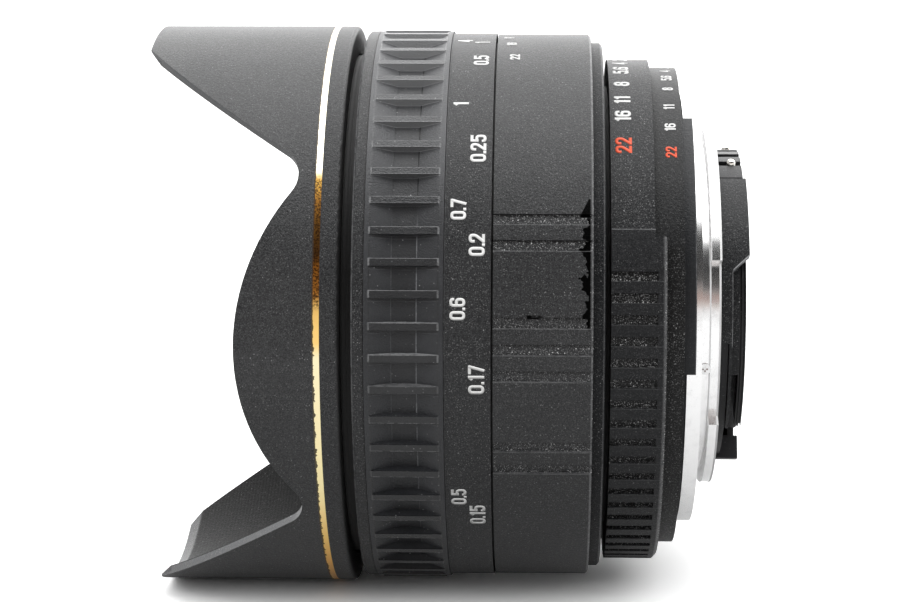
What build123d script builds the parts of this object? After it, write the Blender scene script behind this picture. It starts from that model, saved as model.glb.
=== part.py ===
from build123d import *

import os
from math import acos, asin, cos, degrees, pi, radians, sin, sqrt

# Fisheye lens with a built-in petal hood, for a reflex camera's three-lug bayonet.
# The optical axis is X: the front points to -X, the camera side to +X. +Z is the top
# of the lens, where its index line is. The origin is the centre of the mount's flange
# face. Lengths are millimetres, angles degrees. A lens angle is counted from the top
# towards -Y, so 90 is the side that the photograph shows.

os.makedirs("parts", exist_ok=True)

# Outer sizes, from the hood inwards

hood_radius = 36.75
hood_wall = 1.1
focus_step = 0.65  # the focus ring stands this much inside the hood
scale_step = 0.3  # the distance scale lies this much below the focus ring's nose
barrel_step = 0.1
rear_ring_step = 1.1
grip_thickness = 1.5
focus_wall = 1.6
tube_wall = 1.5
helicoid_wall = 1.8
carrier_wall = 1.9
barrel_wall = 1.0

# Lengths along the axis, from the flange face forwards

ridge_gap = 0.8
ridge_length = 1.5
rear_band_length = 3.6
scale_part_length = 5.3
aperture_gap = 0.7
rear_ring_length = 1.45
barrel_length = 11.95
seam_width = 0.25
focus_scale_length = 5.6
grip_length = 9.6
nose_length = 1.45
groove_width = 1.4
base_ring_length = 2.25
gold_ring_length = 0.9
side_petal_height = 9.4
long_petal_height = 22.3

# Travel and clearances

focus_turn = 128.0
focus_travel = 3.6
lever_turn = 15.0
running_fit = 0.05  # on the radius, between a ring and what it turns or slides on
seat_fit = 0.02  # on the radius, between fixed round seats
side_gap = 0.15  # along the axis, beside a moving piece
key_fit = 0.05  # on each side of a key in its slot
cut_over = 1.0  # a cutting shape runs past its face by this much

# Bayonet sizes, set by the camera body

flange_radius = 28.6
flange_thickness = 1.8
throat_radius = 21.9
collar_wall = 1.0
lug_radius = 23.5
lug_front = 1.4
lug_thickness = 1.35
lug_angle = 66.6
lug_starts = [1.0, 121.0, 241.0]
coupling_radius = 24.6  # distance of the focus drive's coupling from the axis
coupling_angle = 215.0

# Stations along the axis

ridge_back = -ridge_gap
aperture_back = ridge_back - ridge_length
scale_part_back = aperture_back - rear_band_length
aperture_front = scale_part_back - scale_part_length
rear_ring_back = aperture_front - aperture_gap
rear_ring_front = rear_ring_back - rear_ring_length
barrel_front = rear_ring_front - barrel_length
focus_back = barrel_front - seam_width
grip_back = focus_back - focus_scale_length
grip_front = grip_back - grip_length
focus_front = grip_front - nose_length
base_back = focus_front - groove_width
base_front = base_back - base_ring_length
gold_front = base_front - gold_ring_length
side_petal_front = gold_front - side_petal_height
long_petal_front = gold_front - long_petal_height
lug_back = lug_front + lug_thickness

# Radii from the outside inwards

hood_bore = hood_radius - hood_wall
focus_radius = hood_radius - focus_step
scale_radius = focus_radius - scale_step
barrel_radius = scale_radius - barrel_step
barrel_bore = barrel_radius - barrel_wall
rear_ring_radius = barrel_radius - rear_ring_step
grip_seat_radius = focus_radius - grip_thickness
focus_bore = grip_seat_radius - focus_wall
tube_radius = focus_bore - running_fit
tube_bore = tube_radius - tube_wall
helicoid_radius = tube_bore - running_fit
helicoid_bore = helicoid_radius - helicoid_wall
carrier_radius = helicoid_bore - running_fit
carrier_bore = carrier_radius - carrier_wall
collar_bore = throat_radius - collar_wall


# Planes and outlines that the pieces share

def meridian(angle):
    # plane through the axis at a lens angle: local x is X and local y the radius
    return Plane.XY.rotated((angle + 90, 0, 0))


def facing(angle, radius):
    # plane square to the radius at a lens angle, with local x along X
    return Plane.XY.rotated((angle, 0, 0)).offset(radius)


def across(x):
    # plane square to the axis: local x is Y and local y is Z
    return Plane.YZ.offset(x)


def on_circle(angle, radius):
    return (-radius * sin(radians(angle)), radius * cos(radians(angle)))


def turned(points, mode=Mode.ADD, start=0, arc=360):
    # an outline of (x, radius) points, turned about the axis
    with BuildSketch(meridian(start)) as outline:
        with BuildLine():
            Polyline(*points, close=True)
        make_face()
    revolve(outline.sketch, axis=Axis.X, revolution_arc=arc, mode=mode)


def band(front, back, inner, outer):
    return [(front, inner), (back, inner), (back, outer), (front, outer)]


def sector(front, back, inner, outer, start, end, mode=Mode.ADD):
    # block of ring section between two lens angles
    middle = (start + end) / 2
    with BuildSketch(across(front)) as shape:
        with BuildLine():
            Line(on_circle(start, inner), on_circle(start, outer))
            ThreePointArc(
                on_circle(start, outer), on_circle(middle, outer), on_circle(end, outer)
            )
            Line(on_circle(end, outer), on_circle(end, inner))
            ThreePointArc(
                on_circle(end, inner), on_circle(middle, inner), on_circle(start, inner)
            )
        make_face()
    extrude(shape.sketch, amount=back - front, mode=mode)


def axial_rounds(front, back, ring_radius, angles, radius, mode=Mode.ADD):
    # pins or holes along the axis
    with BuildSketch(across(front)) as rounds:
        with Locations(*[on_circle(angle, ring_radius) for angle in angles]):
            Circle(radius)
    extrude(rounds.sketch, amount=back - front, mode=mode)


def radial_rounds(x, angles, inner, outer, radius, mode=Mode.ADD):
    # pins or holes square to the axis
    for angle in angles:
        with BuildSketch(facing(angle, inner)) as round_end:
            with Locations((x, 0)):
                Circle(radius)
        extrude(round_end.sketch, amount=outer - inner, mode=mode)


def radial_block(front, back, inner, outer, angle, width, mode=Mode.ADD):
    # block on a radius, with its sides square to each other
    with BuildSketch(facing(angle, inner)) as foot:
        with Locations(((front + back) / 2, 0)):
            Rectangle(back - front, width)
    extrude(foot.sketch, amount=outer - inner, mode=mode)


def half_angle(width, radius):
    # the angle that half a width takes up at a radius
    return degrees(asin(width / 2 / radius))


def keep(builder, label):
    builder.part.label = label
    export_step(builder.part, f"parts/{label}.step")


# Petal hood: the front of a tube is cut, as seen from the side, by two slanted lines
# and a shallow arc between them, which leaves two long petals and two short ones

long_petal_half_angle = 21.0
notch_angle = 34.8  # where the slanted line meets the arc, from the lens's side
notch_corner = 2.9
notch_root_gap = 0.3
hood_neck_step = 0.85
hood_neck_wall = 1.7
hood_neck_length = 2.55
hood_rim_width = 0.3  # the rim's level part; from there it slopes in to the bore
hood_rim_slope = 1.5

neck_radius = hood_radius - hood_neck_step
neck_bore = neck_radius - hood_neck_wall
neck_back = gold_front + hood_neck_length
notch_x = gold_front - notch_root_gap
notch_z = hood_radius * sin(radians(notch_angle))
petal_tip_z = hood_radius * cos(radians(long_petal_half_angle))

with BuildPart() as hood_tube:
    turned(band(long_petal_front, gold_front, hood_bore, hood_radius))
    with BuildSketch(Plane.XZ) as petal_gap:
        with BuildLine():
            Line((notch_x, notch_z), (long_petal_front, petal_tip_z))
            Line((long_petal_front, petal_tip_z), (long_petal_front - cut_over, petal_tip_z))
            Line(
                (long_petal_front - cut_over, petal_tip_z),
                (long_petal_front - cut_over, -petal_tip_z),
            )
            Line((long_petal_front - cut_over, -petal_tip_z), (long_petal_front, -petal_tip_z))
            Line((long_petal_front, -petal_tip_z), (notch_x, -notch_z))
            ThreePointArc((notch_x, -notch_z), (side_petal_front, 0), (notch_x, notch_z))
        make_face()
        fillet(petal_gap.vertices().group_by(Axis.X)[-1], notch_corner)
    extrude(petal_gap.sketch, amount=hood_radius + cut_over, both=True, mode=Mode.SUBTRACT)
hood_skin = hood_tube.faces().filter_by(GeomType.CYLINDER).sort_by(SortBy.AREA)[-1]

# The petals' edges are square to the skin, so the skin is thickened inwards
with BuildPart() as petal_hood:
    thicken(hood_skin, amount=-hood_wall)
    turned([
        (notch_x, neck_bore),
        (neck_back, neck_bore),
        (neck_back, neck_radius),
        (gold_front, neck_radius),
        (gold_front, hood_radius),
        (notch_x, hood_radius),
    ])
    turned(
        [
            (long_petal_front - cut_over, hood_radius - hood_rim_width),
            (long_petal_front, hood_radius - hood_rim_width),
            (long_petal_front + hood_rim_slope, hood_bore),
            (long_petal_front + hood_rim_slope, hood_bore - cut_over),
            (long_petal_front - cut_over, hood_bore - cut_over),
        ],
        mode=Mode.SUBTRACT,
    )
keep(petal_hood, "petal_hood")

# Gold ring, let in behind the hood

with BuildPart() as gold_ring:
    turned(band(gold_front, base_front, neck_radius + seat_fit, hood_radius))
keep(gold_ring, "gold_ring")

# Base ring, which clamps the hood's neck and closes the groove in front of the focus ring

base_corner = 0.5
base_lip_gap = 0.3

with BuildPart() as hood_base_ring:
    turned([
        (base_front, neck_radius + seat_fit),
        (neck_back, neck_radius + seat_fit),
        (neck_back, tube_radius + base_lip_gap),
        (base_back, tube_radius + base_lip_gap),
        (base_back, hood_radius),
        (base_front, hood_radius),
    ])
    back_rim = hood_base_ring.edges().group_by(Axis.X)[-1].sort_by(SortBy.RADIUS)[-1]
    fillet(back_rim, base_corner)
keep(hood_base_ring, "hood_base_ring")

# Inner fixed tube: carries the hood in front, and the focus ring turns on it

drive_key_angles = [30.0, 210.0]
drive_key_width = 4.0
drive_key_length = 2.6
drive_key_wall = 0.6
drive_key_reach = 1.0  # how far the key goes into the rings on each side
slot_end_gap = 0.3
gear_nose_length = 1.5
drive_key_back = focus_back - gear_nose_length - drive_key_wall
drive_key_front = drive_key_back - drive_key_length
key_half_angle = half_angle(drive_key_width + 2 * slot_end_gap, tube_bore)

with BuildPart() as fixed_tube:
    turned([
        (base_front, tube_bore),
        (rear_ring_front, tube_bore),
        (rear_ring_front, tube_radius),
        (neck_back, tube_radius),
        (neck_back, neck_bore - seat_fit),
        (base_front, neck_bore - seat_fit),
    ])
    for angle in drive_key_angles:
        sector(
            drive_key_front - side_gap,
            drive_key_back + side_gap,
            tube_bore - cut_over,
            tube_radius + cut_over,
            angle - focus_turn - key_half_angle,
            angle + key_half_angle,
            mode=Mode.SUBTRACT,
        )

# Focus drive gears: the camera's screwdriver turns a pinion, an idler passes through a
# window in the fixed tube and meshes with the internal gear on the focus ring

gear_module = 0.6
addendum_share = 0.8
dedendum_share = 1.1
tooth_share = 0.86  # tooth thickness at the pitch circle, of half the pitch
tip_share = 0.5
root_share = 1.4
pinion_teeth = 9
gear_tip_gap = 0.15
gear_length = 3.7
gear_shoulder = 0.55
gear_nose_wall = 0.9
gear_side_gap = 0.3
gear_gap = 0.2
stud_radius = 1.0
stud_collar_radius = 1.7
stud_collar_length = 0.5

addendum = addendum_share * gear_module
dedendum = dedendum_share * gear_module
ring_teeth = int(2 * (tube_radius + gear_tip_gap + addendum) / gear_module) + 1
ring_pitch = gear_module * ring_teeth / 2
pinion_pitch = gear_module * pinion_teeth / 2
idler_teeth = int((ring_pitch - coupling_radius - pinion_pitch) / gear_module) + 1
idler_pitch = gear_module * idler_teeth / 2
idler_radius = ring_pitch - idler_pitch
gear_reach = pinion_pitch + idler_pitch
idler_offset = degrees(acos(
    (coupling_radius**2 + idler_radius**2 - gear_reach**2) / (2 * coupling_radius * idler_radius)
))
idler_angle = coupling_angle + idler_offset
teeth_front = focus_back + seam_width + gear_shoulder
teeth_back = teeth_front + gear_length


def gear_outline(teeth, first_angle, inward=False):
    # straight-sided teeth, the first one centred on a lens angle
    pitch_radius = gear_module * teeth / 2
    tip = pitch_radius - addendum if inward else pitch_radius + addendum
    root = pitch_radius + dedendum if inward else pitch_radius - dedendum
    half_tooth = 360 / teeth / 4 * tooth_share
    points = []
    for tooth in range(teeth):
        middle = first_angle + 360 / teeth * tooth
        points.append(on_circle(middle - half_tooth * root_share, root))
        points.append(on_circle(middle - half_tooth * tip_share, tip))
        points.append(on_circle(middle + half_tooth * tip_share, tip))
        points.append(on_circle(middle + half_tooth * root_share, root))
    return points


idler_first = idler_angle
ring_first = idler_angle + 360 / ring_teeth / 2
shaft_y, shaft_z = on_circle(coupling_angle, coupling_radius)
idler_y, idler_z = on_circle(idler_angle, idler_radius)
to_shaft = degrees(pi - acos((idler_radius**2 + gear_reach**2 - coupling_radius**2)
                             / (2 * idler_radius * gear_reach)))
mesh_angle = idler_angle - to_shaft  # direction from the idler to the pinion
pinion_first = (
    mesh_angle
    + 180
    - idler_teeth / pinion_teeth * (idler_first - mesh_angle)
    - 360 / pinion_teeth / 2
)
window_half_angle = half_angle(2 * (idler_pitch + addendum + gear_side_gap), tube_bore)
window_front = teeth_front - gear_gap - stud_collar_length - gear_side_gap
window_back = teeth_back + gear_gap + stud_collar_length + gear_side_gap

with fixed_tube:
    sector(
        window_front,
        window_back,
        tube_bore - cut_over,
        tube_radius + cut_over,
        idler_angle - window_half_angle,
        idler_angle + window_half_angle,
        mode=Mode.SUBTRACT,
    )
keep(fixed_tube, "fixed_tube")
print("gears", ring_teeth, idler_teeth, pinion_teeth, "idler at", idler_radius, idler_angle)

# Baffle in front of the fixed tube, round the sliding front cell

baffle_thickness = 1.4
baffle_gap = 0.3

with BuildPart() as front_baffle:
    turned(band(
        base_front - baffle_thickness,
        base_front,
        carrier_radius + baffle_gap,
        neck_bore - seat_fit,
    ))
keep(front_baffle, "front_baffle")

# Focus ring: nose, seat for the rubber grip, distance scale

nose_chamfer = 0.25

with BuildPart() as focus_ring:
    turned([
        (focus_front, focus_bore),
        (focus_back - gear_nose_length, focus_bore),
        (focus_back - gear_nose_length, focus_bore + gear_nose_wall + seat_fit),
        (focus_back, focus_bore + gear_nose_wall + seat_fit),
        (focus_back, scale_radius),
        (grip_back, scale_radius),
        (grip_back, grip_seat_radius),
        (grip_front, grip_seat_radius),
        (grip_front, focus_radius),
        (focus_front + nose_chamfer, focus_radius),
        (focus_front, focus_radius - nose_chamfer),
    ])
    for angle in drive_key_angles:
        radial_block(
            drive_key_front - key_fit,
            drive_key_back + key_fit,
            tube_radius - cut_over,
            focus_bore + drive_key_reach,
            angle,
            drive_key_width + 2 * key_fit,
            mode=Mode.SUBTRACT,
        )
keep(focus_ring, "focus_ring")

# Rubber grip: ribs stand in a trough whose floor slopes in, runs level and slopes out

rib_count = 59
rib_width = 0.9
rib_rise = 0.12
rib_root = 0.3
first_rib_angle = 79.45
grip_fit = 0.05
grip_rim = 0.6
trough_depth = 0.95
trough_slope_share = 0.33  # share of the trough's length that each slope takes

trough_front = grip_front + grip_fit + grip_rim
trough_back = grip_back - grip_fit - grip_rim
trough_slope = trough_slope_share * (trough_back - trough_front)
rib_foot = focus_radius - trough_depth - rib_root
rib_top = focus_radius + rib_rise

with BuildPart() as rubber_grip:
    turned([
        (grip_front + grip_fit, grip_seat_radius + seat_fit),
        (grip_back - grip_fit, grip_seat_radius + seat_fit),
        (grip_back - grip_fit, focus_radius),
        (trough_back, focus_radius),
        (trough_back - trough_slope, focus_radius - trough_depth),
        (trough_front + trough_slope, focus_radius - trough_depth),
        (trough_front, focus_radius),
        (grip_front + grip_fit, focus_radius),
    ])
    with BuildSketch(across(trough_front)) as ribs:
        with PolarLocations((rib_foot + rib_top) / 2, rib_count, first_rib_angle + 90):
            Rectangle(rib_top - rib_foot, rib_width)
    extrude(ribs.sketch, amount=trough_back - trough_front)
keep(rubber_grip, "rubber_grip")

# Internal gear, fixed in the back of the focus ring

with BuildPart() as focus_gear:
    turned([
        (focus_back - gear_nose_length, focus_bore + gear_tip_gap),
        (teeth_front, focus_bore + gear_tip_gap),
        (teeth_back, focus_bore + gear_tip_gap),
        (teeth_back, barrel_bore - 2 * running_fit),
        (focus_back, barrel_bore - 2 * running_fit),
        (focus_back, focus_bore + gear_nose_wall),
        (focus_back - gear_nose_length, focus_bore + gear_nose_wall),
    ])
    with BuildSketch(across(teeth_front)) as ring_gap:
        Circle(ring_pitch + dedendum)
        with BuildLine():
            Polyline(*gear_outline(ring_teeth, ring_first, inward=True), close=True)
        make_face(mode=Mode.SUBTRACT)
    with BuildSketch(across(teeth_front)) as ring_hollow:
        with BuildLine():
            Polyline(*gear_outline(ring_teeth, ring_first, inward=True), close=True)
        make_face()
    extrude(ring_hollow.sketch, amount=gear_length + cut_over, mode=Mode.SUBTRACT)
keep(focus_gear, "focus_gear")

# Rotating helicoid ring inside the fixed tube, and the keys that join it to the focus ring

helicoid_front = grip_front - nose_length + side_gap
helicoid_back = drive_key_back + drive_key_length / 2

with BuildPart() as helicoid_ring:
    turned(band(helicoid_front, helicoid_back, helicoid_bore, helicoid_radius))
    for angle in drive_key_angles:
        radial_block(
            drive_key_front - key_fit,
            drive_key_back + key_fit,
            helicoid_radius - drive_key_reach,
            helicoid_radius + cut_over,
            angle,
            drive_key_width + 2 * key_fit,
            mode=Mode.SUBTRACT,
        )
keep(helicoid_ring, "helicoid_ring")

with BuildPart() as drive_keys:
    for angle in drive_key_angles:
        radial_block(
            drive_key_front,
            drive_key_back,
            helicoid_radius - drive_key_reach,
            focus_bore + drive_key_reach,
            angle,
            drive_key_width,
        )
keep(drive_keys, "drive_keys")

# Barrel behind the focus ring, with finger grooves along both sides

barrel_lip_length = 1.0
barrel_bevel = 0.3
finger_groove_width = 1.3
finger_groove_depth = 0.35
finger_groove_angles = [-25.3, -20.1, -5.2, 0.0, 5.2, 20.1, 25.3]

with BuildPart() as main_barrel:
    turned([
        (barrel_front, barrel_bore),
        (rear_ring_front - barrel_lip_length, barrel_bore),
        (rear_ring_front - barrel_lip_length, tube_radius + seat_fit),
        (rear_ring_front, tube_radius + seat_fit),
        (rear_ring_front, barrel_radius - barrel_bevel),
        (rear_ring_front - barrel_bevel, barrel_radius),
        (barrel_front, barrel_radius),
    ])
    with BuildSketch(across(barrel_front)) as finger_grooves:
        for side in (90, 270):
            for angle in finger_groove_angles:
                with PolarLocations(barrel_radius, 1, side + angle + 90):
                    Rectangle(2 * finger_groove_depth, finger_groove_width)
    extrude(finger_grooves.sketch, amount=barrel_length, mode=Mode.SUBTRACT)
keep(main_barrel, "main_barrel")

# Rear frame: the web that carries the barrel and the fixed tube, and the hub that the
# aperture ring turns on, with bosses for the mount's screws

hub_rise = 0.3  # the hub stands this much outside the flange
hub_wall = 2.3
tail_step = 1.1
tail_length = 1.4
sleeve_radius = 16.8
sleeve_wall = 1.2
boss_inset = 3.3
boss_radius = 1.6
screw_radius = 0.8
screw_length = 5.0
screw_head_radius = 1.2
screw_head_height = 0.8
screw_angles = [30.0, 102.0, 170.0, 246.0, 318.0]
shaft_radius = 1.0
link_angle = 285.0
link_width = 1.6
link_inner = 17.3
link_outer = 18.5
link_gap = 0.3
click_angle = 135.0
click_ball_radius = 0.75
leaf_length = 5.5
leaf_width = 1.8
leaf_thickness = 0.25

web_radius = rear_ring_radius - barrel_wall - seat_fit
hub_radius = flange_radius + hub_rise
flange_rim = hub_radius - hub_rise
tail_radius = hub_radius - tail_step
boss_circle = hub_radius - boss_inset
hub_bore = hub_radius - hub_wall
hub_back = -flange_thickness
tail_front = hub_back - tail_length
link_half_angle = half_angle(link_width + 2 * link_gap, link_inner)
click_x = (aperture_front + scale_part_back) / 2
leaf_top = hub_radius - 2 * click_ball_radius - seat_fit

with BuildPart() as rear_frame:
    turned([
        (rear_ring_front, sleeve_radius + seat_fit),
        (rear_ring_back, sleeve_radius + seat_fit),
        (rear_ring_back, hub_bore),
        (hub_back, hub_bore),
        (hub_back, tail_radius),
        (tail_front, tail_radius),
        (tail_front, hub_radius),
        (rear_ring_back, hub_radius),
        (rear_ring_back, web_radius),
        (rear_ring_front, web_radius),
    ])
    axial_rounds(rear_ring_back, hub_back, boss_circle, screw_angles, boss_radius)
    axial_rounds(
        hub_back - screw_length,
        hub_back,
        boss_circle,
        screw_angles,
        screw_radius + seat_fit,
        mode=Mode.SUBTRACT,
    )
    axial_rounds(
        rear_ring_front,
        rear_ring_back,
        coupling_radius,
        [coupling_angle],
        shaft_radius + running_fit,
        mode=Mode.SUBTRACT,
    )
    sector(
        rear_ring_front,
        rear_ring_back,
        sleeve_radius - cut_over,
        link_outer + link_gap,
        link_angle - lever_turn - link_half_angle,
        link_angle + link_half_angle,
        mode=Mode.SUBTRACT,
    )
    radial_rounds(
        click_x,
        [click_angle],
        hub_bore - cut_over,
        hub_radius + cut_over,
        click_ball_radius + running_fit,
        mode=Mode.SUBTRACT,
    )
    radial_block(
        click_x - leaf_length / 2 - side_gap,
        click_x + leaf_length / 2 + side_gap,
        hub_bore - cut_over,
        leaf_top + seat_fit,
        click_angle,
        leaf_width + 2 * side_gap,
        mode=Mode.SUBTRACT,
    )
    axial_rounds(
        rear_ring_front - cut_over,
        rear_ring_back + cut_over,
        idler_radius,
        [idler_angle],
        stud_radius + seat_fit,
        mode=Mode.SUBTRACT,
    )
keep(rear_frame, "rear_frame")

with BuildPart() as barrel_rear_ring:
    turned([
        (rear_ring_front, web_radius + seat_fit),
        (rear_ring_back, web_radius + seat_fit),
        (rear_ring_back, rear_ring_radius - barrel_bevel),
        (rear_ring_back - barrel_bevel, rear_ring_radius),
        (rear_ring_front, rear_ring_radius),
    ])
keep(barrel_rear_ring, "barrel_rear_ring")

# Click ball and its leaf spring, which give the aperture ring its steps

with BuildPart() as click_ball:
    with Locations(facing(click_angle, hub_radius - click_ball_radius)):
        with Locations((click_x, 0)):
            Sphere(click_ball_radius)
keep(click_ball, "click_ball")

with BuildPart() as click_spring:
    radial_block(
        click_x - leaf_length / 2,
        click_x + leaf_length / 2,
        leaf_top - leaf_thickness,
        leaf_top,
        click_angle,
        leaf_width,
    )
keep(click_spring, "click_spring")

# Mount flange: a plate with a collar, three lugs, a pocket for the camera's lock pin and
# a hole for the focus coupling. Its face is relieved inside the ring that the camera
# body bears on.

face_inner_radius = 24.0
face_relief = 0.15
lock_pin_angle = 90.0
lock_pin_circle = 26.3
lock_pin_radius = 1.25
lock_pin_depth = 1.2
coupling_head_radius = 1.4
coupling_hole_gap = 0.2
stop_screw_angle = 102.5
stop_screw_x = 0.84
stop_head_radius = 0.75
stop_head_height = 0.15
stop_slot_width = 0.25
stop_slot_depth = 0.3
stop_shank_radius = 0.5
screw_head_depth = 0.1
screw_slot_width = 0.35
screw_slot_depth = 0.45


def flange_screws(extra, head_back, mode=Mode.ADD):
    # countersunk screws, or the holes for them when they are a little larger
    cone_front = -screw_head_depth - screw_head_height
    axial_rounds(
        hub_back - screw_length, cone_front, boss_circle, screw_angles,
        screw_radius + extra, mode=mode,
    )
    for angle in screw_angles:
        with Locations(Plane((cone_front, *on_circle(angle, boss_circle)), z_dir=(1, 0, 0))):
            Cone(
                screw_radius + extra,
                screw_head_radius + extra,
                screw_head_height,
                align=(Align.CENTER, Align.CENTER, Align.MIN),
                mode=mode,
            )
    axial_rounds(
        -screw_head_depth, head_back, boss_circle, screw_angles,
        screw_head_radius + extra, mode=mode,
    )


with BuildPart() as mount_flange:
    turned([
        (hub_back, collar_bore),
        (lug_back, collar_bore),
        (lug_back, throat_radius),
        (-face_relief, throat_radius),
        (-face_relief, face_inner_radius),
        (0, face_inner_radius),
        (0, flange_rim),
        (hub_back, flange_rim),
    ])
    for angle in lug_starts:
        sector(lug_front, lug_back, throat_radius - seat_fit, lug_radius, angle, angle + lug_angle)
    flange_screws(seat_fit, cut_over, mode=Mode.SUBTRACT)
    axial_rounds(
        -lock_pin_depth, cut_over, lock_pin_circle, [lock_pin_angle], lock_pin_radius,
        mode=Mode.SUBTRACT,
    )
    axial_rounds(
        hub_back, cut_over, coupling_radius, [coupling_angle],
        coupling_head_radius + coupling_hole_gap, mode=Mode.SUBTRACT,
    )
    radial_rounds(
        stop_screw_x, [stop_screw_angle], collar_bore - cut_over, throat_radius + cut_over,
        stop_shank_radius + seat_fit, mode=Mode.SUBTRACT,
    )
keep(mount_flange, "mount_flange")

with BuildPart() as mount_screws:
    flange_screws(0, -screw_head_depth + seat_fit)
    with BuildSketch(across(-screw_head_depth - screw_slot_depth)) as screw_slots:
        with Locations(*[on_circle(angle, boss_circle) for angle in screw_angles]):
            Rectangle(screw_head_radius, screw_slot_width)
            Rectangle(screw_slot_width, screw_head_radius)
    extrude(screw_slots.sketch, amount=screw_slot_depth + cut_over, mode=Mode.SUBTRACT)
keep(mount_screws, "mount_screws")

with BuildPart() as stop_screw:
    radial_rounds(
        stop_screw_x, [stop_screw_angle], collar_bore + seat_fit, throat_radius + seat_fit,
        stop_shank_radius,
    )
    radial_rounds(
        stop_screw_x, [stop_screw_angle], throat_radius + seat_fit,
        throat_radius + stop_head_height, stop_head_radius,
    )
    stop_slot_floor = throat_radius + stop_head_height - stop_slot_depth
    for slot_length, slot_width in (
        (stop_head_radius, stop_slot_width),
        (stop_slot_width, stop_head_radius),
    ):
        radial_block(
            stop_screw_x - slot_length / 2, stop_screw_x + slot_length / 2, stop_slot_floor,
            throat_radius + cut_over, stop_screw_angle, slot_width, mode=Mode.SUBTRACT,
        )
keep(stop_screw, "stop_screw")

# Rear shroud: a sleeve behind the web, a disc, and a wall cut away for the lever and the
# contact block

sleeve_back = 6.1
sleeve_tail_step = 0.5
disc_front = 3.9
disc_back = 4.3
shroud_radius = 20.6
shroud_wall = 1.0
shroud_back = 6.42
skirt_front = 2.9
skirt_wall = 0.5  # where the lever's arm passes under it
skirt_end = 94.8
window_start = 63.7
window_slope_end = 69.2
fence_radius = 19.5
fence_wall = 1.0
fence_back = 5.2
fence_end = 108.0
lever_zone_start = 131.0
lever_zone_end = 172.0
block_start = -30.0
block_end = 29.0
block_gap = 0.5  # degrees on each side

sleeve_bore = sleeve_radius - sleeve_wall
sleeve_tail_radius = sleeve_radius - sleeve_tail_step
block_inner = sleeve_radius + running_fit


def tangent_run(angle, middle, radius):
    # distance along a plane that faces the angle called middle
    return radius * sin(radians(middle - angle))


with BuildPart() as rear_shroud:
    turned([
        (rear_ring_front, sleeve_bore),
        (sleeve_back, sleeve_bore),
        (sleeve_back, sleeve_tail_radius),
        (disc_back, sleeve_tail_radius),
        (disc_back, shroud_radius - shroud_wall),
        (shroud_back, shroud_radius - shroud_wall),
        (shroud_back, shroud_radius),
        (disc_front, shroud_radius),
        (disc_front, sleeve_radius),
        (rear_ring_front, sleeve_radius),
    ])
    for wall, start, end in (
        (shroud_wall, block_end + block_gap, window_start),
        (skirt_wall, block_end + block_gap, skirt_end),
        (shroud_wall, lever_zone_end, 360 + block_start - block_gap),
    ):
        sector(
            skirt_front, disc_front + seat_fit, shroud_radius - wall, shroud_radius, start, end
        )
    sector(
        disc_back, shroud_back + cut_over, shroud_radius - shroud_wall - cut_over,
        shroud_radius + cut_over, window_slope_end, lever_zone_end, mode=Mode.SUBTRACT,
    )
    with BuildSketch(facing(window_start, sleeve_radius)) as slope:
        slope_foot = tangent_run(window_slope_end, window_start, shroud_radius)
        slope_end = tangent_run(window_slope_end + block_gap, window_start, shroud_radius)
        with BuildLine():
            Polyline(
                (disc_back, slope_foot),
                (shroud_back, 0),
                (shroud_back + cut_over, 0),
                (shroud_back + cut_over, slope_end),
                (disc_back, slope_end),
                close=True,
            )
        make_face()
    extrude(slope.sketch, amount=shroud_radius, mode=Mode.SUBTRACT)
    sector(
        disc_back - seat_fit, fence_back, fence_radius - fence_wall, fence_radius,
        block_end + block_gap, fence_end,
    )
    sector(
        disc_front - cut_over, disc_back + cut_over, sleeve_radius + running_fit,
        shroud_radius + cut_over, lever_zone_start, lever_zone_end, mode=Mode.SUBTRACT,
    )
    sector(
        skirt_front - cut_over, shroud_back + cut_over, sleeve_radius + running_fit,
        shroud_radius + cut_over, block_start - block_gap, block_end + block_gap,
        mode=Mode.SUBTRACT,
    )
keep(rear_shroud, "rear_shroud")

# Light baffle: a ring on the sleeve, with grooves round it

baffle_back = 6.05
baffle_radius = 19.1
baffle_end = 135.5
baffle_groove_count = 2
baffle_groove_share = 0.45
baffle_groove_depth = 0.4

baffle_front = fence_back + seat_fit
baffle_pitch = (baffle_back - baffle_front) / baffle_groove_count

with BuildPart() as light_baffle:
    turned(band(baffle_front, baffle_back, sleeve_tail_radius + seat_fit, baffle_radius))
    for groove in range(baffle_groove_count):
        groove_front = baffle_front + baffle_pitch * (groove + (1 - baffle_groove_share) / 2)
        turned(
            band(
                groove_front,
                groove_front + baffle_pitch * baffle_groove_share,
                baffle_radius - baffle_groove_depth,
                baffle_radius + cut_over,
            ),
            mode=Mode.SUBTRACT,
        )
    for start, end in (
        (baffle_end, lever_zone_end),
        (block_start - block_gap, block_end + block_gap),
    ):
        sector(
            baffle_front - cut_over, baffle_back + cut_over, sleeve_tail_radius - cut_over,
            shroud_radius + cut_over, start, end, mode=Mode.SUBTRACT,
        )
keep(light_baffle, "light_baffle")

# Contact block: slots along the axis, a contact pin in each; three pins stand proud

block_back = 6.06
block_foot_front = 3.04
block_radius = 20.6
block_slot_width = 1.3
block_slot_depth = 0.7
contact_count = 5
contact_first = 18.9
contact_step = 8.4
raised_contacts = [0, 3, 4]
pin_radius = 0.6
pin_x = 4.75
pin_depth = 2.2
low_pin_stand = 0.1
lever_ring_front = 2.95
lever_ring_back = 3.8
lever_ring_radius = 18.6

contact_angles = [contact_first - contact_step * index for index in range(contact_count)]

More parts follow.
